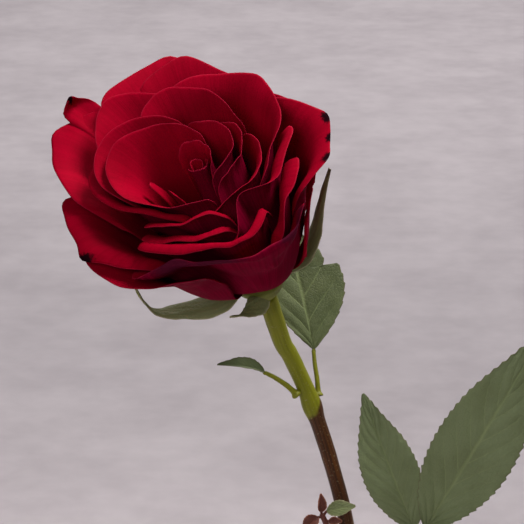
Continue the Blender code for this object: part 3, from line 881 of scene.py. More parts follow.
@dataclass(frozen=True)
class GlazeFinish:
    """Plain warm-white glaze: clear gloss over a faintly clouded body, bare clay under the foot."""

    glaze: Colour = (0.80, 0.78, 0.73)
    pooled: Colour = (0.66, 0.65, 0.62)
    speck: Colour = (0.42, 0.36, 0.28)
    clay: Colour = (0.56, 0.44, 0.33)
    roughness: float = 0.16
    coat: float = 0.6

    def build(self, effects: Effects) -> bpy.types.Material:
        """Make the material.

        Args:
            effects: the shared groups.

        Returns:
            The material.
        """
        made, board, shader = start_material("vase_glaze")
        mottle = board.group(effects.mottle, **{"Broad Scale": 26.0, "Fine Scale": 420.0})
        colour = board.blend(board.math("MULTIPLY", mottle["Broad"], 0.5), self.glaze, self.pooled)
        colour = board.blend(board.span(mottle["Fine"], 0.93, 1.0, 0.0, 0.6), colour, self.speck)
        bare = board.mark("bare")
        colour = board.blend(bare, colour, self.clay)
        board.feed(shader.inputs["Base Color"], colour)
        gloss = board.span(mottle["Broad"], 0.0, 1.0, self.roughness, self.roughness + 0.07)
        dull = board.math("MULTIPLY", bare, 0.85)
        board.feed(shader.inputs["Roughness"], board.math("MAXIMUM", gloss, dull))
        shader.inputs["Coat Weight"].default_value = self.coat
        shader.inputs["Coat Roughness"].default_value = 0.08
        grain = board.math("MULTIPLY", mottle["Fine"], 0.1)
        add_bump(board, shader, board.math("ADD", mottle["Broad"], grain), 0.25)
        return made


@dataclass(frozen=True)
class PlasterFinish:
    """Pale grey-lilac plaster of the floor."""

    pale: Colour = (0.60, 0.535, 0.555)
    cloud: Colour = (0.46, 0.405, 0.425)

    def build(self, effects: Effects) -> bpy.types.Material:
        """Make the material.

        Args:
            effects: the shared groups.

        Returns:
            The material.
        """
        made, board, shader = start_material("floor_plaster")
        mottle = board.group(effects.mottle, **{"Broad Scale": 14.0, "Fine Scale": 60.0})
        broad = board.math("MULTIPLY", mottle["Broad"], 0.5)
        share = board.math("ADD", broad, board.math("MULTIPLY", mottle["Fine"], 0.3))
        board.feed(shader.inputs["Base Color"], board.blend(share, self.pale, self.cloud))
        shader.inputs["Roughness"].default_value = 0.9
        return made


class Finishes:
    """Every material of the rose and its vase."""

    def __init__(self) -> None:
        """Build the shared groups and the materials that use them."""
        effects = Effects()
        self.petal = PetalFinish().build(effects)
        self.leaf = LeafFinish().build(effects)
        self.upper_leaf = LeafFinish(name="upper_leaf_green", green=(0.120, 0.142, 0.055),
                                     dark=(0.082, 0.102, 0.038), pairs=5.0, lean=1.8).build(effects)
        self.stem = StemFinish().build(effects)
        self.rachis = StemFinish(name="rachis_skin", green=(0.22, 0.15, 0.07),
                                 green_deep=(0.15, 0.075, 0.04)).build(effects)
        self.sepal = SepalFinish().build(effects)
        self.shoot = SepalFinish(name="shoot_red", green=(0.130, 0.035, 0.020), dark=(0.060, 0.014, 0.012),
                                 edge=(0.30, 0.10, 0.05), inner=(0.17, 0.06, 0.03)).build(effects)
        self.shoot_green = SepalFinish(name="shoot_green", green=(0.19, 0.22, 0.09),
                                       dark=(0.11, 0.13, 0.05), edge=(0.30, 0.27, 0.14),
                                       inner=(0.22, 0.26, 0.12)).build(effects)
        self.glaze = GlazeFinish().build(effects)
        self.plaster = PlasterFinish().build(effects)


# ---------------------------------------------------------------- bloom

@dataclass(frozen=True)
class BloomFrame:
    """Where the bloom sits: its base above the hip, the way its mouth faces, and its lean."""

    above_hip: tuple = (-1.45, -1.87, 5.19)    # from the middle of the hip's box to the petals' base
    facing: tuple = (256.0, 33.4)              # heading and tilt of the mouth's normal
    lean: tuple = (230.6, 33.6)                # heading and tilt of the line from hip to heart

    def base(self) -> np.ndarray:
        """The petals' base in millimetres."""
        low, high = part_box("hip")
        return np.array((low + high) / 2) / MM + self.above_hip

    def axes(self) -> np.ndarray:
        """The bloom's axes in the world.

        Returns:
            Sideways, upward and outward axes, as columns.
        """
        normal = direction(*self.facing)
        sideways = unit(np.array((1.0, 0, 0)) - normal[0] * normal)
        return np.stack([sideways, np.cross(normal, sideways), direction(*self.lean)], 1)

    def to_world(self, azimuth: np.ndarray, radius: np.ndarray, height: np.ndarray) -> np.ndarray:
        """Points from the bloom's azimuth in degrees, radius and height.

        Args:
            azimuth: degrees round the bloom, 0 to the right and 90 to the back.
            radius: distance from its axis.
            height: distance along its axis.

        Returns:
            The points in millimetres.
        """
        a = np.radians(azimuth)
        local = np.stack(np.broadcast_arrays(radius * np.cos(a), radius * np.sin(a), height), -1)
        return self.base() + local @ self.axes().T


@dataclass(frozen=True)
class Shells:
    """The nested shells that petals lie on: shell 0 is the heart and shell 1 the outermost."""

    crown_height: float = 62.0
    crown_drop: float = 22.0
    crown_reach: tuple = (55, 60, 65, 69, 71, 71, 67, 60, 54, 49, 47, 50)
    crown_flare: tuple = (20, 30, 35, 35, 35, 35, 40, 40, 10, -50, -75, -20)
    claw_inner: float = 1.3
    claw_outer: float = 9.5
    claw_top: float = 3.2
    claw_slope: float = 0.5
    rise: tuple = (80.0, 85.0, 0.7)         # angle at the claw, how much less further out, and its power
    turn_out: tuple = (82.0, 62.0, 1.6)     # the same at the rim
    claw_pull: tuple = (1.0, 0.35)          # how far the claw's angle is kept, and how much more outwards
    rim_pull: float = 0.9
    outermost: float = 1.4                  # largest shell that a radius is looked for on

    def point(self, shell: np.ndarray, share: np.ndarray,
              azimuth: np.ndarray) -> tuple[np.ndarray, np.ndarray]:
        """Radius and height of a place on a shell.

        Args:
            shell: which shell.
            share: share of the way up it.
            azimuth: degrees round the bloom.

        Returns:
            The radius and the height.
        """
        given = (np.asarray(values, float) for values in (shell, share, azimuth))
        shell, share, azimuth = np.broadcast_arrays(*given)
        r0 = self.claw_inner + (self.claw_outer - self.claw_inner) * shell
        z0 = self.claw_top - self.claw_slope * (r0 - self.claw_inner)
        r1 = shell * around(self.crown_reach, azimuth)
        z1 = self.crown_height - self.crown_drop * shell ** 3
        chord = np.hypot(r1 - r0, z1 - z0)
        angle, less, power = self.rise
        start = np.radians(angle - less * np.clip(shell, 0, 1.2) ** power)
        angle, less, power = self.turn_out
        less = less + around(self.crown_flare, azimuth)
        end = np.radians(angle - less * np.clip(shell, 0, 1.3) ** power)
        pull0, pull1 = chord * (self.claw_pull[0] + self.claw_pull[1] * shell), chord * self.rim_pull
        blend = share * share * (3 - 2 * share)
        lift0, lift1 = share * (1 - share) ** 2, -share * share * (1 - share)
        radius = r0 + (r1 - r0) * blend + pull0 * np.cos(start) * lift0 + pull1 * np.cos(end) * lift1
        height = z0 + (z1 - z0) * blend + pull0 * np.sin(start) * lift0 + pull1 * np.sin(end) * lift1
        return radius, height

    def spacing(self, shell: np.ndarray, share: np.ndarray, azimuth: np.ndarray) -> np.ndarray:
        """Distance between neighbouring shells for one whole shell.

        Args:
            shell: which shell.
            share: share of the way up it.
            azimuth: degrees round the bloom.

        Returns:
            The distance in millimetres.
        """
        step = 0.01
        r_out, z_out = self.point(shell + step, share, azimuth)
        r_in, z_in = self.point(shell - step, share, azimuth)
        r_up, z_up = self.point(shell, np.minimum(share + step, 1.0), azimuth)
        r_low, z_low = self.point(shell, np.maximum(share - step, 0.0), azimuth)
        dr, dz = (r_out - r_in) / (2 * step), (z_out - z_in) / (2 * step)
        tr, tz = r_up - r_low, z_up - z_low
        return np.abs(dr * tz - dz * tr) / np.maximum(np.hypot(tr, tz), 1e-9)

    def at_radius(self, radius: np.ndarray, share: np.ndarray, azimuth: np.ndarray) -> np.ndarray:
        """Find a shell by halving.

        Args:
            radius: the radius that it has.
            share: share of the way up it.
            azimuth: degrees round the bloom.

        Returns:
            The shell.
        """
        low, high = np.zeros_like(radius), np.full_like(radius, self.outermost)
        for _ in range(24):
            middle = (low + high) / 2
            too_big = self.point(middle, share, azimuth)[0] > radius
            high = np.where(too_big, middle, high)
            low = np.where(too_big, low, middle)
        return (low + high) / 2


@dataclass
class Petal:
    """One petal: the azimuths it covers, its rim's radii, its curl and its marks."""

    name: str
    first: float
    last: float
    rim: tuple                      # radii from the first to the last azimuth
    height: float = 1.0             # share of the crown's height
    rounding: float = 0.3           # how much lower the sides end than the middle
    tips: tuple = ()                # points and dips: place across, extra height, half width
    curl: float = 1.2               # how far the rim turns out past its crest
    roll: float = 0.1               # how far it turns down, 0 to 1
    crest: float = 0.86             # share of the length where that starts
    lift: float = 0.0               # how far it stands above its shell
    burns: tuple = ()               # dark dried spots: place across, place along, reach
    wither: float = 0.0             # how withered the rim is
    wave: float = 0.7               # unevenness of the surface
    claw: float = 22.0              # half width at the hip, degrees
    root: float = -1.0              # shell at the hip, or -1 to follow the order
    spread_at: float = 0.55         # share of the height where it reaches its full width
    frill: float = 0.008            # unevenness of the rim, as a share of the height
    shells: np.ndarray | None = field(default=None, repr=False)

    @property
    def middle(self) -> float:
        """The azimuth halfway across."""
        return (self.first + self.last) / 2

    @property
    def seed(self) -> int:
        """Number that its own unevenness starts from."""
        return sum(ord(letter) * (k + 1) for k, letter in enumerate(self.name))

    def half_width(self, share: np.ndarray) -> np.ndarray:
        """Half the petal's width.

        Args:
            share: share of the crown's height.

        Returns:
            The half width in degrees.
        """
        full = (self.last - self.first) / 2
        claw = min(self.claw, full)
        return claw + (full - claw) * smooth_ramp(share / self.spread_at)

    def outline(self, across: np.ndarray) -> np.ndarray:
        """How high the rim reaches.

        Args:
            across: from one side, -1, to the other, 1.

        Returns:
            Share of the petal's height.
        """
        side = np.clip(np.abs(across), 0, 1)
        reach = 1 - self.rounding * (1 - (1 - side ** 3) ** (1 / 3))
        for place, extra, width in self.tips:
            reach = reach + extra * np.exp(-np.abs((across - place) / width) ** 1.5)
        return reach + self.frill * ripple(self.seed, across * 2.2, np.zeros_like(across), 6)


@dataclass
class PackingGrid:
    """Grid of azimuths and shares of height on which the petals are packed."""

    step: float = 3.0
    rows: int = 41
    top: float = 1.05
    petal_gap: float = 0.55         # between the middles of two petals, at the axis
    spreading: float = 0.009        # and what is added for each millimetre of radius

    def azimuths(self) -> np.ndarray:
        """The grid's azimuths."""
        return np.arange(0, 360, self.step)

    def cell(self, azimuth: np.ndarray, share: np.ndarray) -> tuple[np.ndarray, np.ndarray]:
        """Where a place is on the grid.

        Args:
            azimuth: degrees round the bloom.
            share: share of the crown's height.

        Returns:
            Its column and row, with fractions.
        """
        column = (np.asarray(azimuth) / self.step) % len(self.azimuths())
        row = np.clip(np.asarray(share) / self.top * (self.rows - 1), 0, self.rows - 1.001)
        return column, row

    def read(self, values: np.ndarray, azimuth: np.ndarray, share: np.ndarray) -> np.ndarray:
        """Values between the grid's cells.

        Args:
            values: a value for each cell.
            azimuth: degrees round the bloom.
            share: share of the crown's height.

        Returns:
            The value at each place.
        """
        column, row = self.cell(azimuth, share)
        i, j = np.floor(column).astype(int), np.floor(row).astype(int)
        fx, fy = column - i, row - j
        count = len(self.azimuths())
        i, n = i % count, (i + 1) % count
        low = values[j, i] * (1 - fx) + values[j, n] * fx
        high = values[j + 1, i] * (1 - fx) + values[j + 1, n] * fx
        return low * (1 - fy) + high * fy

    def near(self, values: np.ndarray, columns: int, rows: int) -> list[np.ndarray]:
        """The grid shifted to every neighbour within reach.

        Args:
            values: a value for each cell.
            columns: reach to either side.
            rows: reach up and down.

        Returns:
            The shifted grids.
        """
        padded = np.pad(values, ((rows, rows), (0, 0)), mode="edge")
        rolled = [np.roll(padded, k, 1) for k in range(-columns, columns + 1)]
        return [one[k:k + self.rows] for one in rolled for k in range(2 * rows + 1)]

    def widened(self, values: np.ndarray) -> np.ndarray:
        """Spread the largest values to their neighbours.

        Args:
            values: a value for each cell.

        Returns:
            The largest value nearby, averaged twice.
        """
        wide = np.max(self.near(values, 2, 1), 0)
        for _ in range(2):
            wide = np.mean(self.near(wide, 2, 1), 0)
        return wide


def rose_petals() -> list[Petal]:
    """The petals from the heart outwards; packing keeps each outside those before it."""
    return [
        Petal("core_1", -60, 240, (2, 2, 2, 2, 2), 0.90, 0.15, claw=60, root=0.02, wave=0.2, curl=0.3),
        Petal("core_2", 190, 420, (3, 3.5, 4, 4, 3), 0.92, 0.15, claw=60, root=0.05, wave=0.2, curl=0.5),
        Petal("core_3", -40, 150, (5, 5.5, 6, 7, 8), 0.97, 0.2, claw=50, wave=0.3),
        Petal("fold_1", 216, 244, (12, 13, 13, 13, 12), 0.86, 0.5, tips=((-0.3, 0.05, 0.3),), claw=10),
        Petal("fold_2", 184, 212, (15, 17, 17, 17, 16), 0.86, 0.5, tips=((0.3, 0.05, 0.3),), claw=10),
        Petal("cup", 60, 290, (8, 17, 30.5, 25, 17.5), 1.0, 0.12, claw=50, wave=0.5),
        Petal("heart_1", -62, 110, (10, 12, 15, 16, 10), 1.0, 0.2, claw=40),
        Petal("heart_2", -65, 75, (14, 14, 17, 20, 19), 0.99, 0.2, claw=34),
        Petal("heart_3", -85, 54, (17, 18, 22, 24, 23), 0.97, 0.25, curl=1.8, roll=0.4),
        Petal("inner_1", 100, 215, (20, 27, 35, 35, 30), 1.0, 0.2),
        Petal("inner_3", 155, 262, (40, 43, 36, 23, 17), 1.0, 0.15, curl=3, roll=0.8, lift=2.0),
        Petal("inner_2", 222, 300, (22, 20, 19, 18, 19), 1.0, 0.3, curl=3, roll=0.5, lift=1.0),
        Petal("inner_4", 222, 300, (22, 20, 19, 19, 20), 0.98, 0.3, curl=3, roll=0.5),
        Petal("middle_1", 43, 138, (22, 27, 34, 37, 32), 1.0, 0.25),
        Petal("middle_2", 100, 165, (38, 42, 48, 44, 36), 0.98, 0.35, tips=((0, 0.03, 0.2),)),
        Petal("middle_3", -30, 112, (24, 26, 38, 48, 50), 0.98, 0.2,
              tips=((0.32, 0.05, 0.12), (0.6, -0.02, 0.1))),
        Petal("middle_4", -76, 40, (17, 18, 27, 32, 33), 1.0, 0.3, curl=3, roll=0.3, lift=1.0),
        Petal("middle_5", 228, 324, (20, 18, 17, 18, 22), 1.0, 0.2, curl=4, roll=0.5, lift=3.0),
        Petal("middle_6", -50, 15, (24, 25, 29, 32, 33), 0.98, 0.3, curl=3, roll=0.3),
        Petal("back_1", 66, 124, (46, 50, 58, 62, 58), 0.97, 0.35,
              tips=((0.12, 0.1, 0.2), (-0.4, -0.02, 0.3))),
        Petal("back_2", 92, 142, (60, 63, 60, 58, 56), 0.97, 0.35, tips=((-0.55, 0.11, 0.2),), lift=1.5),
        Petal("outer_1", 125, 197, (57, 62, 59, 50, 45), 0.95, 0.3, tips=((-0.3, 0.08, 0.14),), curl=2),
        Petal("outer_2", -20, 62, (34, 41, 46, 47, 45), 0.97, 0.25,
              tips=((0.16, 0.08, 0.2), (-0.4, 0.05, 0.16)), curl=1.5,
              burns=((0.16, 1.0, 3.5), (-0.1, 1.0, 2.5), (-0.4, 1.0, 3.5))),
        Petal("outer_3", 172, 242, (51, 51, 49.5, 44, 38), 0.94, 0.25,
              tips=((0.2, 0.1, 0.14),), curl=4, roll=0.4, burns=((0.2, 1.0, 4.0),)),
        Petal("outer_4", 228, 345, (25, 22.5, 23, 28.5, 32.5), 0.96, 0.2,
              tips=((-0.5, 0.02, 0.3), (0.2, -0.02, 0.2)), curl=1.0, wither=0.8),
        Petal("guard_1", 130, 147, (46, 49, 50, 49, 46), 1.0, 0.6,
              tips=((0.1, 0.1, 0.25),), claw=12, lift=3.0, burns=((0.1, 1.0, 7.0),)),
        Petal("guard_2", -20, 8, (33, 33, 33, 33, 33), 0.76, 0.5, claw=12),
        Petal("guard_3", 200, 270, (37, 35, 32, 28, 26), 0.92, 0.3, curl=1),
        Petal("guard_4", 34, 84, (50, 51, 52, 53, 54), 0.8, 0.4),
        Petal("guard_5", 80, 128, (56, 58, 58, 58, 58), 0.8, 0.4),
    ]


def edge_distance(grid: np.ndarray) -> tuple[np.ndarray, np.ndarray]:
    """Distance in millimetres from each point of a grid to its last row and to its nearer side.

    Args:
        grid: points, rows by columns by 3.

    Returns:
        The distance to the last row, and the one to the nearer side.
    """
    up = np.linalg.norm(np.diff(grid, axis=0), axis=-1)
    over = np.linalg.norm(np.diff(grid, axis=1), axis=-1)
    to_end = np.zeros(grid.shape[:2])
    to_end[:-1] = np.cumsum(up[::-1], 0)[::-1]
    left, right = np.zeros(grid.shape[:2]), np.zeros(grid.shape[:2])
    left[:, 1:] = np.cumsum(over, 1)
    right[:, :-1] = np.cumsum(over[:, ::-1], 1)[:, ::-1]
    return to_end, np.minimum(left, right)


@dataclass
class Bloom:
    """The petals, nested on their hip."""

    seat: BloomFrame = field(default_factory=BloomFrame)
    shells: Shells = field(default_factory=Shells)
    grid: PackingGrid = field(default_factory=PackingGrid)
    petals: list[Petal] = field(default_factory=rose_petals)
    thickness: float = 0.42
    rim_thickness: float = 0.18
    column: float = 2.2             # degrees covered by one column of faces
    rows: int = 48
    thins_over: float = 3.0         # how far from the rim a petal starts to thin
    withers_over: float = 12.0      # how far from the rim it can wither
    first_root: float = 0.05        # shell at the hip of the first petal in the order
    root_range: float = 0.85        # and what the last one's adds to it
    steepness: float = 0.75         # power by which a petal leaves its root's shell
    margin: float = 0.06            # share of the height past the rim that is still kept clear

    def at(self, petal: Petal, across: np.ndarray, along: np.ndarray) -> tuple[np.ndarray, ...]:
        """Azimuth, share of height and shell of places on a petal.

        Args:
            petal: the petal, already packed.
            across: from one side, -1, to the other, 1.
            along: from the claw, 0, to the rim, 1.

        Returns:
            The azimuths, shares and shells.
        """
        past = np.clip((along - petal.crest) / (1 - petal.crest), 0, None)
        rolled = petal.crest + (1 - petal.crest) * (past - petal.roll * past ** 2)
        full = petal.height * petal.outline(across)
        share = full * np.where(along < petal.crest, along, rolled)
        azimuth = petal.middle + across * petal.half_width(full * along)
        wide = (petal.last - petal.first) / 90.0
        swell = petal.wave * smooth_ramp(along / 0.9) * ripple(petal.seed, across * wide, along * 0.9)
        out = petal.curl * past ** 1.5 + swell
        packed = self.grid.read(petal.shells, azimuth, share)
        return azimuth, share, packed + out / around(self.shells.crown_reach, azimuth)

    def pack(self) -> None:
        """Give every petal its field of shells, each pushed clear of the petals inside it."""
        grid, shells = self.grid, self.shells
        azimuth, share = np.meshgrid(grid.azimuths(), np.linspace(0, grid.top, grid.rows))
        front = np.full(azimuth.shape, -1.0)
        fine = np.meshgrid(np.linspace(-1, 1, 121), np.linspace(0, 1, 121))
        for order, petal in enumerate(self.petals):
            turn = (azimuth - petal.middle + 180) % 360 - 180
            half = petal.half_width(share)
            across = np.clip(turn / half, -1, 1)
            in_order = self.first_root + self.root_range * order / len(self.petals)
            root = petal.root if petal.root >= 0 else in_order
            radius = along_line(petal.rim, (across + 1) / 2)
            rim = shells.at_radius(radius, np.full(azimuth.shape, min(petal.height, 1.0)), azimuth)
            wanted = root + (rim - root) * np.clip(share / petal.height, 0, 1) ** self.steepness
            covered = np.abs(turn / half) < 1 + grid.step * 1.2 / half
            covered &= share <= petal.height * petal.outline(across) + self.margin
            inside = np.maximum(front, 0.02)
            gap = grid.petal_gap + grid.spreading * shells.point(inside, share, azimuth)[0]
            gap = gap / np.maximum(shells.spacing(inside, share, azimuth), 4.0)
            push = np.where((front >= 0) & covered, np.maximum(front + gap - wanted, 0.0), 0.0)
            petal.shells = wanted + np.maximum(push, grid.widened(push))
            azimuths, shares, reached = self.at(petal, *fine)
            column, row = grid.cell(azimuths, shares)
            for side in (-1, 0, 1):
                for step in (-1, 0, 1):
                    i = np.floor(column + 0.5 + side).astype(int) % azimuth.shape[1]
                    j = np.clip(np.floor(row + 0.5).astype(int) + step, 0, grid.rows - 1)
                    np.maximum.at(front, (j, i), reached)

    def points(self, petal: Petal, across: np.ndarray, along: np.ndarray) -> np.ndarray:
        """Points of a petal's middle surface.

        Args:
            petal: the petal, already packed.
            across: from one side, -1, to the other, 1.
            along: from the claw, 0, to the rim, 1.

        Returns:
            The points in millimetres.
        """
        azimuth, share, shell = self.at(petal, across, along)
        radius, height = self.shells.point(shell, share, azimuth)
        return self.seat.to_world(azimuth, radius, height + petal.lift * smooth_ramp(along))

    def build_petal(self, petal: Petal) -> bpy.types.Object:
        """Make one petal, thinner towards its rim.

        Args:
            petal: the petal, already packed.

        Returns:
            The object.
        """
        columns = int(np.clip(round((petal.last - petal.first) / self.column) + 1, 21, 110))
        across, along = np.meshgrid(np.linspace(-1, 1, columns), np.linspace(0, 1, self.rows) ** 0.8)
        points = self.points(petal, across, along)
        points = np.stack([softened(points[..., k], 4) for k in range(3)], -1)
        to_rim, to_side = edge_distance(points)
        edge = np.minimum(to_rim, to_side + self.thins_over * (1 - along))
        extra = (self.thickness - self.rim_thickness) * smooth_ramp(edge / self.thins_over)
        width, length = to_side.max(axis=1, keepdims=True), to_rim[0].mean()
        burn = np.zeros_like(across)
        for place, where, reach in petal.burns:
            away = ((across - place) * width) ** 2 + ((along - where) * length) ** 2
            burn = np.maximum(burn, np.exp(-away / reach ** 2))
        marks = {
            "across": across * (petal.last - petal.first) / 80 + petal.seed,
            "along": along,
            "edge": edge,
            "burn": burn,
            "wither": petal.wither * smooth_ramp(1 - to_rim / self.withers_over),
        }
        return make_sheet("bloom_" + petal.name, points, self.rim_thickness + extra, marks)

    def build(self, finishes: Finishes) -> None:
        """Make and dress every petal.

        Args:
            finishes: every material.
        """
        self.pack()
        for petal in self.petals:
            settle(self.build_petal(petal), Slot.PETAL, finishes.petal, "petal_" + petal.name)


# ---------------------------------------------------------------- turned pieces

def make_turned(name: str, profile: np.ndarray, sides: int, place: Callable,
                marks: dict) -> bpy.types.Object:
    """Closed turned body.

    Args:
        name: the piece's name.
        profile: radii and heights, starting and ending on the axis.
        sides: number of sides.
        place: gives the point at an azimuth, radius and height.
        marks: values at each point of the profile.

    Returns:
        The object.
    """
    azimuth = np.arange(sides) * 360.0 / sides
    rings = profile[1:-1]
    points = place(azimuth[None, :], rings[:, :1], rings[:, 1:])
    ends = np.stack([place(0.0, 0.0, profile[0][1]), place(0.0, 0.0, profile[-1][1])])
    count = len(rings) * sides
    faces = grid_faces(len(rings), sides, 0, False, closed=True)
    for k in range(sides):
        n = (k + 1) % sides
        faces.append((count, n, k))
        faces.append((count + 1, count - sides + k, count - sides + n))
    full = {}
    for mark, values in marks.items():
        values = np.asarray(values, float)
        full[mark] = np.concatenate([np.repeat(values[1:-1], sides), values[[0, -1]]])
    full["turn"] = np.concatenate([np.tile(azimuth / 360.0, len(rings)), [0.0, 0.0]])
    return make_piece(name, np.concatenate([points.reshape(-1, 3), ends]), faces, full)


@dataclass
class Hip:
    """Swollen end of the stem that carries sepals and petals."""

    seat: BloomFrame = field(default_factory=BloomFrame)
    waist: float = 14.0
    neck: float = 3.7
    shoulder: float = 9.9
    claw_top: float = 2.45
    sides: int = 72

    def build(self, finishes: Finishes) -> None:
        """Make and dress the hip.

        Args:
            finishes: every material.
        """
        keys = np.array([
            (0.01, -self.waist), (self.neck, -self.waist), (self.neck + 0.9, -self.waist + 1.6),
            (self.neck + 2.6, -self.waist + 3.6), (self.shoulder - 1.4, -8.2), (self.shoulder, -4.8),
            (self.shoulder - 0.5, -2.6), (self.shoulder - 2.2, -1.4), (1.3, self.claw_top),
            (0.01, self.claw_top),
        ])
        fine = along_line(keys, np.linspace(0, 1, 46))
        profile = np.concatenate([[(0.0, -self.waist)], fine, [(0.0, self.claw_top)]])
        share = np.linspace(0, 1, len(profile))
        piece = make_turned("hip_swelling", profile, self.sides, self.seat.to_world, plain_marks(share))
        settle(piece, Slot.SEPAL, finishes.sepal, "hip")


@dataclass
class Vase:
    """Turned bottle with a foot ring, a round belly, a straight neck and a turned-out lip."""

    wall: float = 3.6
    floor: float = 6.0
    foot: float = 27.0
    belly_height: float = 44.0
    bore: float = 11.1
    neck_length: float = 38.0
    flare: float = 1.6
    lip: float = 10.0
    ring_inset: float = 4.0
    ring_depth: float = 1.2
    glaze_line: float = 1.8         # height under which the clay is bare
    sides: int = 144

    def outer_line(self, height: float, belly: float) -> np.ndarray:
        """Trace the outside of the wall from the foot to the lip.

        Args:
            height: the vase's height.
            belly: radius of its widest ring.

        Returns:
            Radii and heights.
        """
        neck, neck_start = self.bore + self.wall, height - self.neck_length
        keys = (
            (self.foot, 0.0), (self.foot + 4.0, 7.0), (belly - 1.0, self.belly_height * 0.6),
            (belly, self.belly_height), (belly * 0.88, self.belly_height + 19.0),
            ((belly + neck) / 2 - 1.0, (self.belly_height + neck_start) / 2 + 3.0),
            (neck + 3.0, neck_start - 13.0), (neck, neck_start + 4.0), (neck, height - self.lip),
            (neck + self.flare, height - 1.4),
        )
        return along_line(keys, np.linspace(0, 1, 90))

    def build(self, finishes: Finishes) -> None:
        """Make and dress the vase.

        Args:
            finishes: every material.
        """
        low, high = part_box("vase")
        height, belly = high.z / MM, (high.x - low.x) / 2 / MM
        outer = self.outer_line(height, belly)
        neck = self.bore + self.wall
        inside = outer[::-1]
        inside = inside[(inside[:, 1] > self.floor + 1.0) & (inside[:, 1] < height - self.lip)]
        turn = np.radians(np.linspace(10, 170, 13))
        middle, half = neck + self.flare / 2 - 1.1, self.flare / 2 + self.wall / 2 - 1.0
        lip = np.stack([middle + half * np.cos(turn), height - 1.4 + 1.4 * np.sin(turn)], 1)
        ring = self.foot - self.ring_inset
        profile = np.concatenate([
            [(0.0, self.ring_depth), (ring - 1.5, self.ring_depth), (ring - 0.6, 0.3), (ring, 0.0),
             (self.foot - 1.0, 0.0), (self.foot - 0.3, 0.25)],
            outer[1:], lip, inside - (self.wall, 0.0),
            [(inside[-1, 0] - self.wall - 2.5, self.floor), (0.0, self.floor)],
        ])
        bare = profile[:, 1] < self.glaze_line

        def place(azimuth: np.ndarray, radius: np.ndarray, level: np.ndarray) -> np.ndarray:
            """Point on the vase at an azimuth, radius and height."""
            a = np.radians(azimuth)
            return np.stack(np.broadcast_arrays(radius * np.cos(a), radius * np.sin(a), level), -1)

        piece = make_turned("bud_vase", profile, self.sides, place, {"bare": bare.astype(float)})
        settle(piece, Slot.GLAZE, finishes.glaze, "vase")


# ---------------------------------------------------------------- stem and stalks

@dataclass
class Stem:
    """The rose's stem, with its swollen nodes."""

    seat: BloomFrame = field(default_factory=BloomFrame)
    base_radius: float = 3.1
    mouth_radius: float = 2.8
    node_radius: float = 3.0
    top_radius: float = 3.7
    top_drop: float = 14.3          # from the petals' base to the top of the stem
    nodes: tuple = ((17.0, 0.6, 4.0), (77.0, 0.9, 4.5))  # height past the mouth, swelling, half length
    unevenness: float = 0.018       # share of the radius
    wander: float = 3.0             # how far the border between brown and green wanders
    border: float = 16.0            # length over which brown turns to green
    cuts: int = 48
    sides: int = 36
    rings: int = 240

    def line(self) -> np.ndarray:
        """Trace the middle line from the cut end to the hip.

        Returns:
            Its points in millimetres.
        """
        cuts = node_line("stem", self.cuts)[2:-3]
        top = self.seat.to_world(0.0, 0.0, -self.top_drop)
        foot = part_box("stem")[0].z / MM
        slope = (cuts[0] - cuts[6]) / (cuts[6][2] - cuts[0][2])
        first = cuts[0] + slope * (cuts[0][2] - foot)
        return even_line(np.concatenate([[first], cuts, [top]]), self.rings)

    def build(self, finishes: Finishes) -> None:
        """Make and dress the stem.

        Args:
            finishes: every material.
        """
        line = self.line()
        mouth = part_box("vase")[1].z / MM
        z = line[:, 2]
        radius = np.interp(z, (0.0, mouth, mouth + self.nodes[-1][0], z[-1]),
                           (self.base_radius, self.mouth_radius, self.node_radius, self.top_radius))
        for level, extra, length in self.nodes:
            radius = radius + extra * np.exp(-((z - mouth - level) / length) ** 2)
        turn, along = np.meshgrid(np.arange(self.sides) / self.sides, np.linspace(0, 1, self.rings))
        sine, cosine = np.sin(2 * math.pi * turn), np.cos(2 * math.pi * turn)
        bumps = ripple(5, sine * 0.5, along * 14.0) + ripple(6, cosine, along * 5)
        radii = radius[:, None] * (1 + self.unevenness * bumps)
        ragged = np.sin(2 * math.pi * (turn + 0.12)) + 0.5 * ripple(8, turn * 2, along * 0)
        past_node = z[:, None] - mouth - self.nodes[-1][0]
        young = 0.5 + (past_node + self.wander * ragged) / self.border
        marks = {"along": along[:, 0], "young": young}
        piece = make_tube("stem_rod", line, radii, marks, direction(*self.seat.facing))
        settle(piece, Slot.STEM, finishes.stem, "stem")


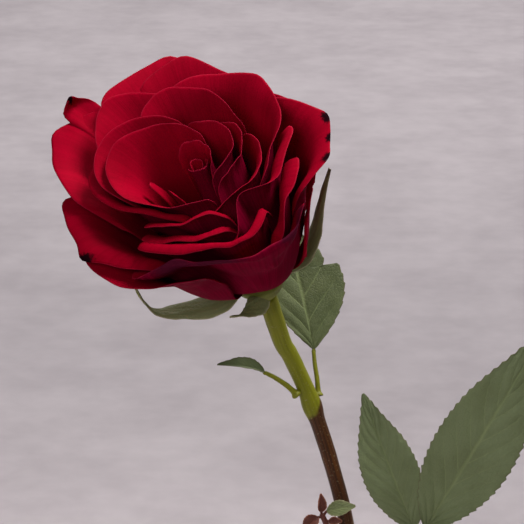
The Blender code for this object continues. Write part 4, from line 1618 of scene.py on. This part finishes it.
@dataclass(frozen=True)
class Stalk:
    """A thin stalk from the stem's side to its leaf, along its CAD rod."""

    node: str
    axis: tuple                     # the way it runs
    first: float                    # radius at the stem
    last: float                     # radius at the leaf
    slot: Slot = Slot.STEM
    foot: float = 0.9               # how much wider it is where it leaves the stem
    foot_length: float = 0.07       # share of the length that is wider
    groove: float = 0.14            # depth of the groove over the radius
    cuts: int = 16
    run_on: float = 2.2             # steps between cuts that the ends are carried on
    sides: int = 18
    rings: int = 44

    def line(self) -> np.ndarray:
        """Trace the middle line, with its ends carried on to the rod's own.

        Returns:
            Its points in millimetres.
        """
        cuts = node_line(self.node, self.cuts, self.axis)[2:-2]
        first = cuts[0] - (cuts[1] - cuts[0]) * self.run_on
        last = cuts[-1] + (cuts[-1] - cuts[-2]) * self.run_on
        return even_line(np.concatenate([[first], cuts, [last]]), self.rings)

    def end(self) -> np.ndarray:
        """Where the leaf starts."""
        return self.line()[-1]

    def build(self, finish: bpy.types.Material) -> None:
        """Make and dress the stalk.

        Args:
            finish: its material.
        """
        line = self.line()
        share = np.linspace(0, 1, self.rings)
        radius = self.first + (self.last - self.first) * share
        radius = radius + self.foot * np.exp(-(share / self.foot_length) ** 2)
        turn, along = np.meshgrid(np.arange(self.sides) / self.sides, share)
        groove = np.exp(-((turn - 0.5) / 0.09) ** 2) * smooth_ramp(along * 4)
        radii = radius[:, None] * (1 - self.groove * groove + 0.03 * ripple(3, turn * 2, along * 6))
        marks = {**plain_marks(share), "young": np.ones(self.rings)}
        settle(make_tube(self.node + "_rod", line, radii, marks), self.slot, finish, self.node)


# ---------------------------------------------------------------- leaves

@dataclass(frozen=True)
class Blade:
    """One leaf blade, placed from the end of its stalk."""

    node: str
    base: tuple
    tip: tuple
    half_width: float
    facing: tuple                   # the way its upper side looks
    arch: float = 2.0               # how far the midrib bows towards the upper side
    fold: float = 12.0              # degrees each half rises off flat
    left: float = 1.0               # width of the left half over the right one's
    widest: float = 0.42            # share of the length where it is widest
    point: float = 0.25             # how drawn out its tip is
    teeth: int = 20
    tooth: float = 0.05             # depth of a tooth over the half width
    notches: tuple = ()             # on the right side: place along, depth, length
    pairs: float = 9.0
    lean: float = 2.6
    relief: float = 0.35            # depth of the veins
    wave: float = 0.8               # unevenness of the margin
    root: float = 0.35              # half width at the base
    offset: float = 0.4             # how far the left half's teeth stand from the right one's
    peak: float = 0.82              # share of a tooth over which it rises
    margin_thickness: float = 0.16
    thickness: float = 0.38
    midrib: float = 0.35            # how much thicker the midrib is
    rows: int = 170
    columns: int = 49

    def width(self, share: np.ndarray, side: np.ndarray) -> np.ndarray:
        """Width of one half along the blade, with its teeth.

        Args:
            share: place along, 0 to 1.
            side: -1 for the left half, 1 for the right.

        Returns:
            The width in millimetres.
        """
        power = math.log(0.5) / math.log(self.widest)
        belly = np.sin(math.pi * np.clip(share, 0, 1) ** power) ** 0.85
        belly = belly * (1 - self.point * smooth_ramp((share - 0.6) / 0.4))
        cycle = (share ** 0.9 * self.teeth + np.where(side < 0, self.offset, 0.0)) % 1.0
        tooth = np.where(cycle < self.peak, (cycle / self.peak) ** 1.4, (1 - cycle) / (1 - self.peak))
        tooth = tooth * smooth_ramp(share * 7) * smooth_ramp((1 - share) * 12)
        cut = np.zeros_like(share)
        for place, depth, length in self.notches:
            past = (share - place) / length
            cut = np.maximum(cut, depth * np.where((past > 0) & (side > 0), np.exp(-past * 2), 0))
        toothed = self.tooth * (tooth - 0.5) * (belly > 0.12)
        return self.root + self.half_width * (belly * (1 - cut) + toothed)

    def grid(self, start: np.ndarray) -> tuple[np.ndarray, np.ndarray, np.ndarray]:
        """Points of the blade's middle surface.

        Args:
            start: the end of its stalk.

        Returns:
            The points, and each one's place across and along.
        """
        base, tip = start + self.base, start + self.tip
        along_axis = unit(tip - base)
        facing = np.array(self.facing, float)
        facing = unit(facing - np.dot(facing, along_axis) * along_axis)
        aside = np.cross(along_axis, facing)
        across, share = np.meshgrid(np.linspace(-1, 1, self.columns), np.linspace(0, 1, self.rows))
        half = self.width(share, np.sign(across))
        side = across * half * np.where(across < 0, self.left, 1.0)
        fold = math.radians(self.fold)
        lift = self.arch * np.sin(math.pi * share) + np.abs(side) * math.sin(fold)
        lift = lift + self.wave * across ** 2 * ripple(len(self.node), across * 0.5, share * 1.6)
        lift = lift + self.vein_relief(across, share)
        points = base + share[..., None] * (tip - base) + side[..., None] * math.cos(fold) * aside
        return points + lift[..., None] * facing, across, share

    def vein_relief(self, across: np.ndarray, share: np.ndarray) -> np.ndarray:
        """How the sunken veins and the puffed blade between them shape the surface.

        Args:
            across: from the left margin, -1, to the right one, 1.
            share: place along, 0 to 1.

        Returns:
            The height in millimetres.
        """
        side = np.abs(across)
        phase = share * self.pairs - side * self.lean + np.where(across > 0, 0.5, 0.0)
        near = np.abs(phase % 1.0 - 0.5)
        vein = np.exp(-(near / 0.09) ** 2) * smooth_ramp((1 - side) / 0.75)
        puff = np.cos(2 * math.pi * near) * -0.5
        rib = np.exp(-(side / 0.05) ** 2)
        inside = smooth_ramp(side * 8) * smooth_ramp((1 - side) * 4)
        return self.relief * (inside * (puff * 0.7 - vein * 0.6) - 1.3 * rib)

    def build(self, start: np.ndarray, slot: Slot, finish: bpy.types.Material) -> None:
        """Make and dress the blade.

        Args:
            start: the end of its stalk.
            slot: its slot, handed on to settle.
            finish: its material.
        """
        points, across, share = self.grid(start)
        to_end, to_side = edge_distance(points)
        edge = np.minimum(to_end, to_side)
        rib = np.exp(-(across / 0.05) ** 2) * (1.2 - share) * smooth_ramp(share * 12)
        inside = (self.thickness - self.margin_thickness) * smooth_ramp(edge / 2.0)
        thickness = self.margin_thickness + inside + self.midrib * rib
        marks = {"across": across, "along": share, "edge": edge, "dry": share * 0}
        settle(make_sheet(self.node + "_blade", points, thickness, marks), slot, finish, self.node)


def petiole(name: str, start: np.ndarray, end: np.ndarray, finish: bpy.types.Material,
            radius: float = 0.75, slot: Slot = Slot.STEM) -> None:
    """Short stalk between a leaf's main stalk and a leaflet.

    Args:
        name: the piece's name.
        start: its first point in millimetres.
        end: its last point.
        finish: its material.
        radius: its radius.
        slot: its slot, handed on to settle.
    """
    rings, sides, sag = 14, 14, np.array((0.0, 0.1, -0.25))
    share = np.linspace(0, 1, rings)
    line = start + (end - start) * share[:, None] + np.sin(math.pi * share)[:, None] * sag
    radii = np.tile((radius * (1.15 - 0.3 * share))[:, None], sides)
    marks = {**plain_marks(share), "young": np.ones(rings)}
    settle(make_tube(name, line, radii, marks), slot, finish)


@dataclass
class Foliage:
    """The upper leaf, the small folded leaf and the compound lower leaf, each on its stalk."""

    upper_stalk: Stalk = Stalk("upper_leaf_stalk", (-1.6, 9.1, 16.3), 1.1, 0.8)
    small_stalk: Stalk = Stalk("small_leaf_stalk", (-12.8, -5.2, 11.2), 1.2, 0.8)
    main_stalk: Stalk = Stalk("leaf_stalk", (25.2, -7.4, 13.6), 1.3, 0.9)
    upper: Blade = Blade(
        "upper_leaf", (0.0, 0.4, 0.8), (-11.0, 23.8, 43.5), 17.0, (0.25, -0.85, 0.35), arch=1.5,
        fold=6, left=0.75, widest=0.5, teeth=14, tooth=0.03, pairs=5.0, lean=1.8,
        notches=((0.62, 0.35, 0.3),))
    small: Blade = Blade(
        "small_leaf", (-0.6, -0.2, 0.4), (-17.8, -12.5, 7.8), 3.2, (0.2, -0.5, 0.8), arch=1.5,
        fold=40, teeth=9, tooth=0.06, pairs=6.0, wave=0.3, relief=0.15, rows=90, columns=33)
    leaflets: tuple = (
        Blade("leaflet_left", (-3.8, 0.8, -0.3), (-23.5, 11.8, 50.7), 10.8, (-0.25, -0.9, 0.3),
              arch=2.0, fold=8),
        Blade("leaflet_end", (0.5, -0.3, 0.6), (43.2, 0.8, 80.0), 15.6, (0.1, -0.8, 0.4),
              arch=3.0, fold=8, teeth=26),
        Blade("leaflet_right", (-2.2, -0.5, -2.8), (44.2, -17.2, -24.0), 11.0, (0.15, -0.35, 0.9),
              arch=3.0, fold=10),
    )
    end_root: float = 0.6           # how far down the main stalk the end leaflet's own stalk starts
    side_root: float = 2.6          # and the side ones'

    def build(self, finishes: Finishes) -> None:
        """Make and dress the leaves and their stalks.

        Args:
            finishes: every material.
        """
        self.upper_stalk.build(finishes.stem)
        self.small_stalk.build(finishes.stem)
        self.main_stalk.build(finishes.rachis)
        self.upper.build(self.upper_stalk.end(), Slot.LEAF, finishes.upper_leaf)
        self.small.build(self.small_stalk.end(), Slot.LEAF, finishes.leaf)
        for stalk, blade in ((self.upper_stalk, self.upper), (self.small_stalk, self.small)):
            petiole(blade.node + "_petiole", stalk.end(), stalk.end() + blade.base, finishes.stem)
        end = self.main_stalk.end()
        for blade in self.leaflets:
            blade.build(end, Slot.LEAF, finishes.leaf)
            back = self.end_root if blade.node == "leaflet_end" else self.side_root
            root = end - unit(self.main_stalk.axis) * back
            petiole(blade.node + "_petiole", root, end + blade.base, finishes.rachis)


# ---------------------------------------------------------------- sepals

@dataclass(frozen=True)
class Sepal:
    """One sepal: its middle line as azimuth, radius and height in the bloom's frame, and its widths."""

    node: str
    line: tuple
    widths: tuple                   # half widths from the hip to the tip
    cup: float = 0.25               # how far its sides rise over its width
    curl: float = 0.0               # how much further its edges turn in
    twist: float = 0.0              # degrees that its tip is turned
    dry: float = 0.8                # how brown the tip is
    dry_from: float = 0.72          # share of the length where that starts
    edge_thickness: float = 0.2
    thickness: float = 0.6
    rows: int = 90
    columns: int = 21

    def build(self, place: BloomFrame, finishes: Finishes) -> None:
        """Make and dress the sepal.

        Args:
            place: the bloom's frame.
            finishes: every material.
        """
        share = np.linspace(0, 1, self.rows)
        keys = place.to_world(*np.array(self.line, float).T)
        middle = along_line(keys, share)
        width = np.maximum(along_line(self.widths, share), 0.25)
        axes, first = place.axes(), math.radians(self.line[0][0])
        aside = -math.sin(first) * axes[:, 0] + math.cos(first) * axes[:, 1]
        tangent = np.gradient(middle, axis=0)
        tangent /= np.linalg.norm(tangent, axis=1, keepdims=True)
        sideways = aside - (tangent @ aside)[:, None] * tangent
        sideways /= np.linalg.norm(sideways, axis=1, keepdims=True)
        normal = np.cross(tangent, sideways)
        turn = np.radians(self.twist) * smooth_ramp((share - 0.4) / 0.6)
        sideways, normal = (np.cos(turn)[:, None] * sideways + np.sin(turn)[:, None] * normal,
                            np.cos(turn)[:, None] * normal - np.sin(turn)[:, None] * sideways)
        across, along = np.meshgrid(np.linspace(-1, 1, self.columns), share)
        half = width[:, None] * (1 + 0.07 * ripple(len(self.node) + 3, np.sign(across), along * 4, 5))
        rise = self.cup * half * across ** 2 + self.curl * half * np.abs(across) ** 6
        rise = rise + 0.2 * ripple(len(self.node), across * 0.6, along * 2.5)
        points = middle[:, None] + (across * half)[..., None] * sideways[:, None]
        points = points - rise[..., None] * normal[:, None]
        to_end, to_side = edge_distance(points)
        edge = np.minimum(to_end, to_side)
        inside = (self.thickness - self.edge_thickness) * smooth_ramp(edge / 1.6)
        dry = self.dry * smooth_ramp((along - self.dry_from) / (1 - self.dry_from))
        marks = {"across": across, "along": along, "edge": edge, "dry": dry}
        blade = make_sheet(self.node + "_blade", points, self.edge_thickness + inside, marks)
        settle(blade, Slot.SEPAL, finishes.sepal, self.node)


@dataclass
class Calyx:
    """The five sepals on the hip."""

    seat: BloomFrame = field(default_factory=BloomFrame)
    sepals: tuple = (
        Sepal("sepal_left", ((215, 10.5, -3.8), (210, 19.5, -5.6), (200, 32.0, -6.4), (198, 39.0, -4.4),
                             (195, 41.5, 0.0), (191, 42.2, 4.0), (189, 42.7, 6.5)),
              (4.2, 5.2, 3.8, 2.2, 1.4, 1.0, 0.6)),
        Sepal("sepal_front", ((275, 10.5, -3.8), (268, 14.5, -4.0), (258, 19.0, -2.6), (250, 23.0, 0.2)),
              (4.0, 4.4, 3.0, 0.8), dry=0.3),
        Sepal("sepal_right", ((22, 10.5, -3.8), (22, 18.0, -2.6), (23, 25.5, 4.0), (25, 32.0, 13.5),
                              (26, 37.0, 20.5), (27, 42.5, 27.5)),
              (4.2, 5.0, 4.2, 2.8, 1.8, 0.8)),
        Sepal("sepal_back_right",
              ((88, 10.5, -3.8), (88, 22.0, -6.6), (87, 33.0, -9.0), (86, 41.0, -14.0)),
              (4.2, 4.8, 2.6, 0.7)),
        Sepal("sepal_back_left",
              ((150, 10.5, -3.8), (150, 22.0, -6.6), (151, 33.0, -9.0), (152, 41.0, -14.0)),
              (4.2, 4.8, 2.6, 0.7)),
    )

    def build(self, finishes: Finishes) -> None:
        """Make and dress the sepals.

        Args:
            finishes: every material.
        """
        for sepal in self.sepals:
            sepal.build(self.seat, finishes)


# ---------------------------------------------------------------- shoot

@dataclass
class Shoot:
    """Young side shoot with its first leaves."""

    stalk: Stalk = Stalk("shoot_stem", (-7.8, -3.3, 17.2), 1.4, 1.1, Slot.SHOOT)
    green_leaf: str = "shoot_leaf_2"
    petiole_radius: float = 0.55
    root: tuple = (0.0, 0.0, 0.8)   # how far under the shoot's end the leaves' own stalks start
    blades: tuple = tuple(
        Blade(node, base, tip, width, facing, arch=arch, fold=fold, teeth=8, tooth=0.08, pairs=5.0,
              relief=0.12, wave=0.3, rows=70, columns=25)
        for node, base, tip, width, facing, arch, fold in (
            ("shoot_leaf_1", (-0.3, -0.1, 0.9), (-0.6, 0.3, 8.4), 1.7, (0.3, -0.9, 0.2), 0.6, 25),
            ("shoot_leaf_2", (1.7, -0.2, 1.4), (12.6, -2.3, 4.4), 2.8, (0.1, -0.8, 0.6), 0.8, 12),
            ("shoot_leaf_3", (-1.4, -0.9, -0.8), (-7.6, -2.5, -5.6), 2.8, (-0.3, -0.85, 0.4), 1.0, 25),
            ("shoot_leaf_4", (2.4, -0.3, -2.8), (7.6, -1.3, -2.4), 1.3, (0.1, -0.8, 0.6), 0.5, 18),
        ))

    def build(self, finishes: Finishes) -> None:
        """Make and dress the shoot.

        Args:
            finishes: every material.
        """
        self.stalk.build(finishes.shoot)
        end = self.stalk.end()
        for blade in self.blades:
            green = blade.node == self.green_leaf
            blade.build(end, Slot.SHOOT, finishes.shoot_green if green else finishes.shoot)
            petiole(blade.node + "_petiole", end - self.root, end + blade.base, finishes.shoot,
                    self.petiole_radius, Slot.SHOOT)


# ---------------------------------------------------------------- studio

@dataclass
class Studio:
    """Pale floor, one large soft light, a weak fill, a light for the far floor and the camera."""

    floor_half: float = 4.0         # half side of the floor, metres
    target: tuple = (2.055, -38.965, 19.793)    # from the middle of the hip's box, millimetres
    elevation: float = 18.0
    distance: float = 0.9
    lens: float = 176.7
    sensor: float = 36.0
    key_from: tuple = (0.55, 0.15, 1.2)         # from the focus, metres
    key_size: float = 0.6
    key_power: float = 2.0
    key_spread: float = 45.0        # degrees
    key_colour: Colour = (1.0, 0.98, 0.96)
    fill_from: tuple = (-0.5, -1.3, 0.6)
    fill_size: float = 0.8
    fill_power: float = 8.0
    fill_colour: Colour = (0.96, 0.97, 1.0)
    back_from: tuple = (0.15, 1.5, 1.3)
    back_to: tuple = (0.15, 1.5, -1.0)
    back_size: float = 1.4
    back_power: float = 26.0
    back_colour: Colour = (1.0, 1.0, 1.0)
    ambient: Colour = (0.11, 0.108, 0.112)

    def focus(self) -> Vector:
        """The point that the camera looks at."""
        low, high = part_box("hip")
        return (low + high) / 2 + Vector(self.target) * MM

    def lay_floor(self, finishes: Finishes) -> None:
        """Make the floor, gently uneven in tone.

        Args:
            finishes: every material.
        """
        mesh = bpy.data.meshes.new("floor")
        half = self.floor_half
        corners = [(-half, -half, 0), (half, -half, 0), (half, half, 0), (-half, half, 0)]
        mesh.from_pydata(corners, [], [(0, 1, 2, 3)])
        mesh.materials.append(finishes.plaster)
        floor = bpy.data.objects.new("floor", mesh)
        bpy.context.scene.collection.objects.link(floor)

    def hang_light(self, name: str, offset: tuple, size: float, power: float, colour: Colour,
                   aim: tuple = (0.0, 0.0, 0.0), spread: float = 180.0) -> None:
        """Hang a square soft light.

        Args:
            name: its name.
            offset: where it is from the focus, metres.
            size: length of its side.
            power: watts.
            colour: its colour.
            aim: the point that it looks at, from the focus.
            spread: how wide its beam fans out, degrees.
        """
        lamp = bpy.data.lights.new(name, "AREA")
        lamp.shape, lamp.size, lamp.energy, lamp.color = "SQUARE", size, power, colour
        lamp.spread = math.radians(spread)
        light = bpy.data.objects.new(name, lamp)
        light.location = self.focus() + Vector(offset)
        light.rotation_euler = (Vector(aim) - Vector(offset)).to_track_quat("-Z", "Y").to_euler()
        bpy.context.scene.collection.objects.link(light)

    def set_camera(self) -> None:
        """Stand the camera in front, looking slightly down."""
        lens = bpy.data.cameras.new("camera")
        lens.lens, lens.sensor_width = self.lens, self.sensor
        camera = bpy.data.objects.new("camera", lens)
        tilt = math.radians(self.elevation)
        offset = Vector((0.0, -math.cos(tilt), math.sin(tilt))) * self.distance
        camera.location = self.focus() + offset
        camera.rotation_euler = (-offset).to_track_quat("-Z", "Y").to_euler()
        bpy.context.scene.collection.objects.link(camera)
        bpy.context.scene.camera = camera

    def build(self, finishes: Finishes) -> None:
        """Set up the floor, the lights and the camera.

        Args:
            finishes: every material.
        """
        scene = bpy.context.scene
        scene.view_settings.view_transform = "Standard"
        scene.world = bpy.data.worlds.new("studio")
        scene.world.use_nodes = True
        sky = scene.world.node_tree.nodes["Background"]
        sky.inputs["Color"].default_value = (*self.ambient, 1.0)
        self.lay_floor(finishes)
        self.hang_light("key", self.key_from, self.key_size, self.key_power, self.key_colour,
                        spread=self.key_spread)
        self.hang_light("fill", self.fill_from, self.fill_size, self.fill_power, self.fill_colour)
        self.hang_light("back", self.back_from, self.back_size, self.back_power, self.back_colour,
                        aim=self.back_to)
        self.set_camera()


def main() -> None:
    """Build the rose, its vase and the studio."""
    logging.basicConfig(level=logging.INFO, format="%(name)s: %(message)s")
    finishes = Finishes()
    Studio().build(finishes)
    for part in (Vase(), Stem(), Hip(), Calyx(), Bloom(), Foliage(), Shoot()):
        part.build(finishes)


if __name__ == "__main__":
    main()
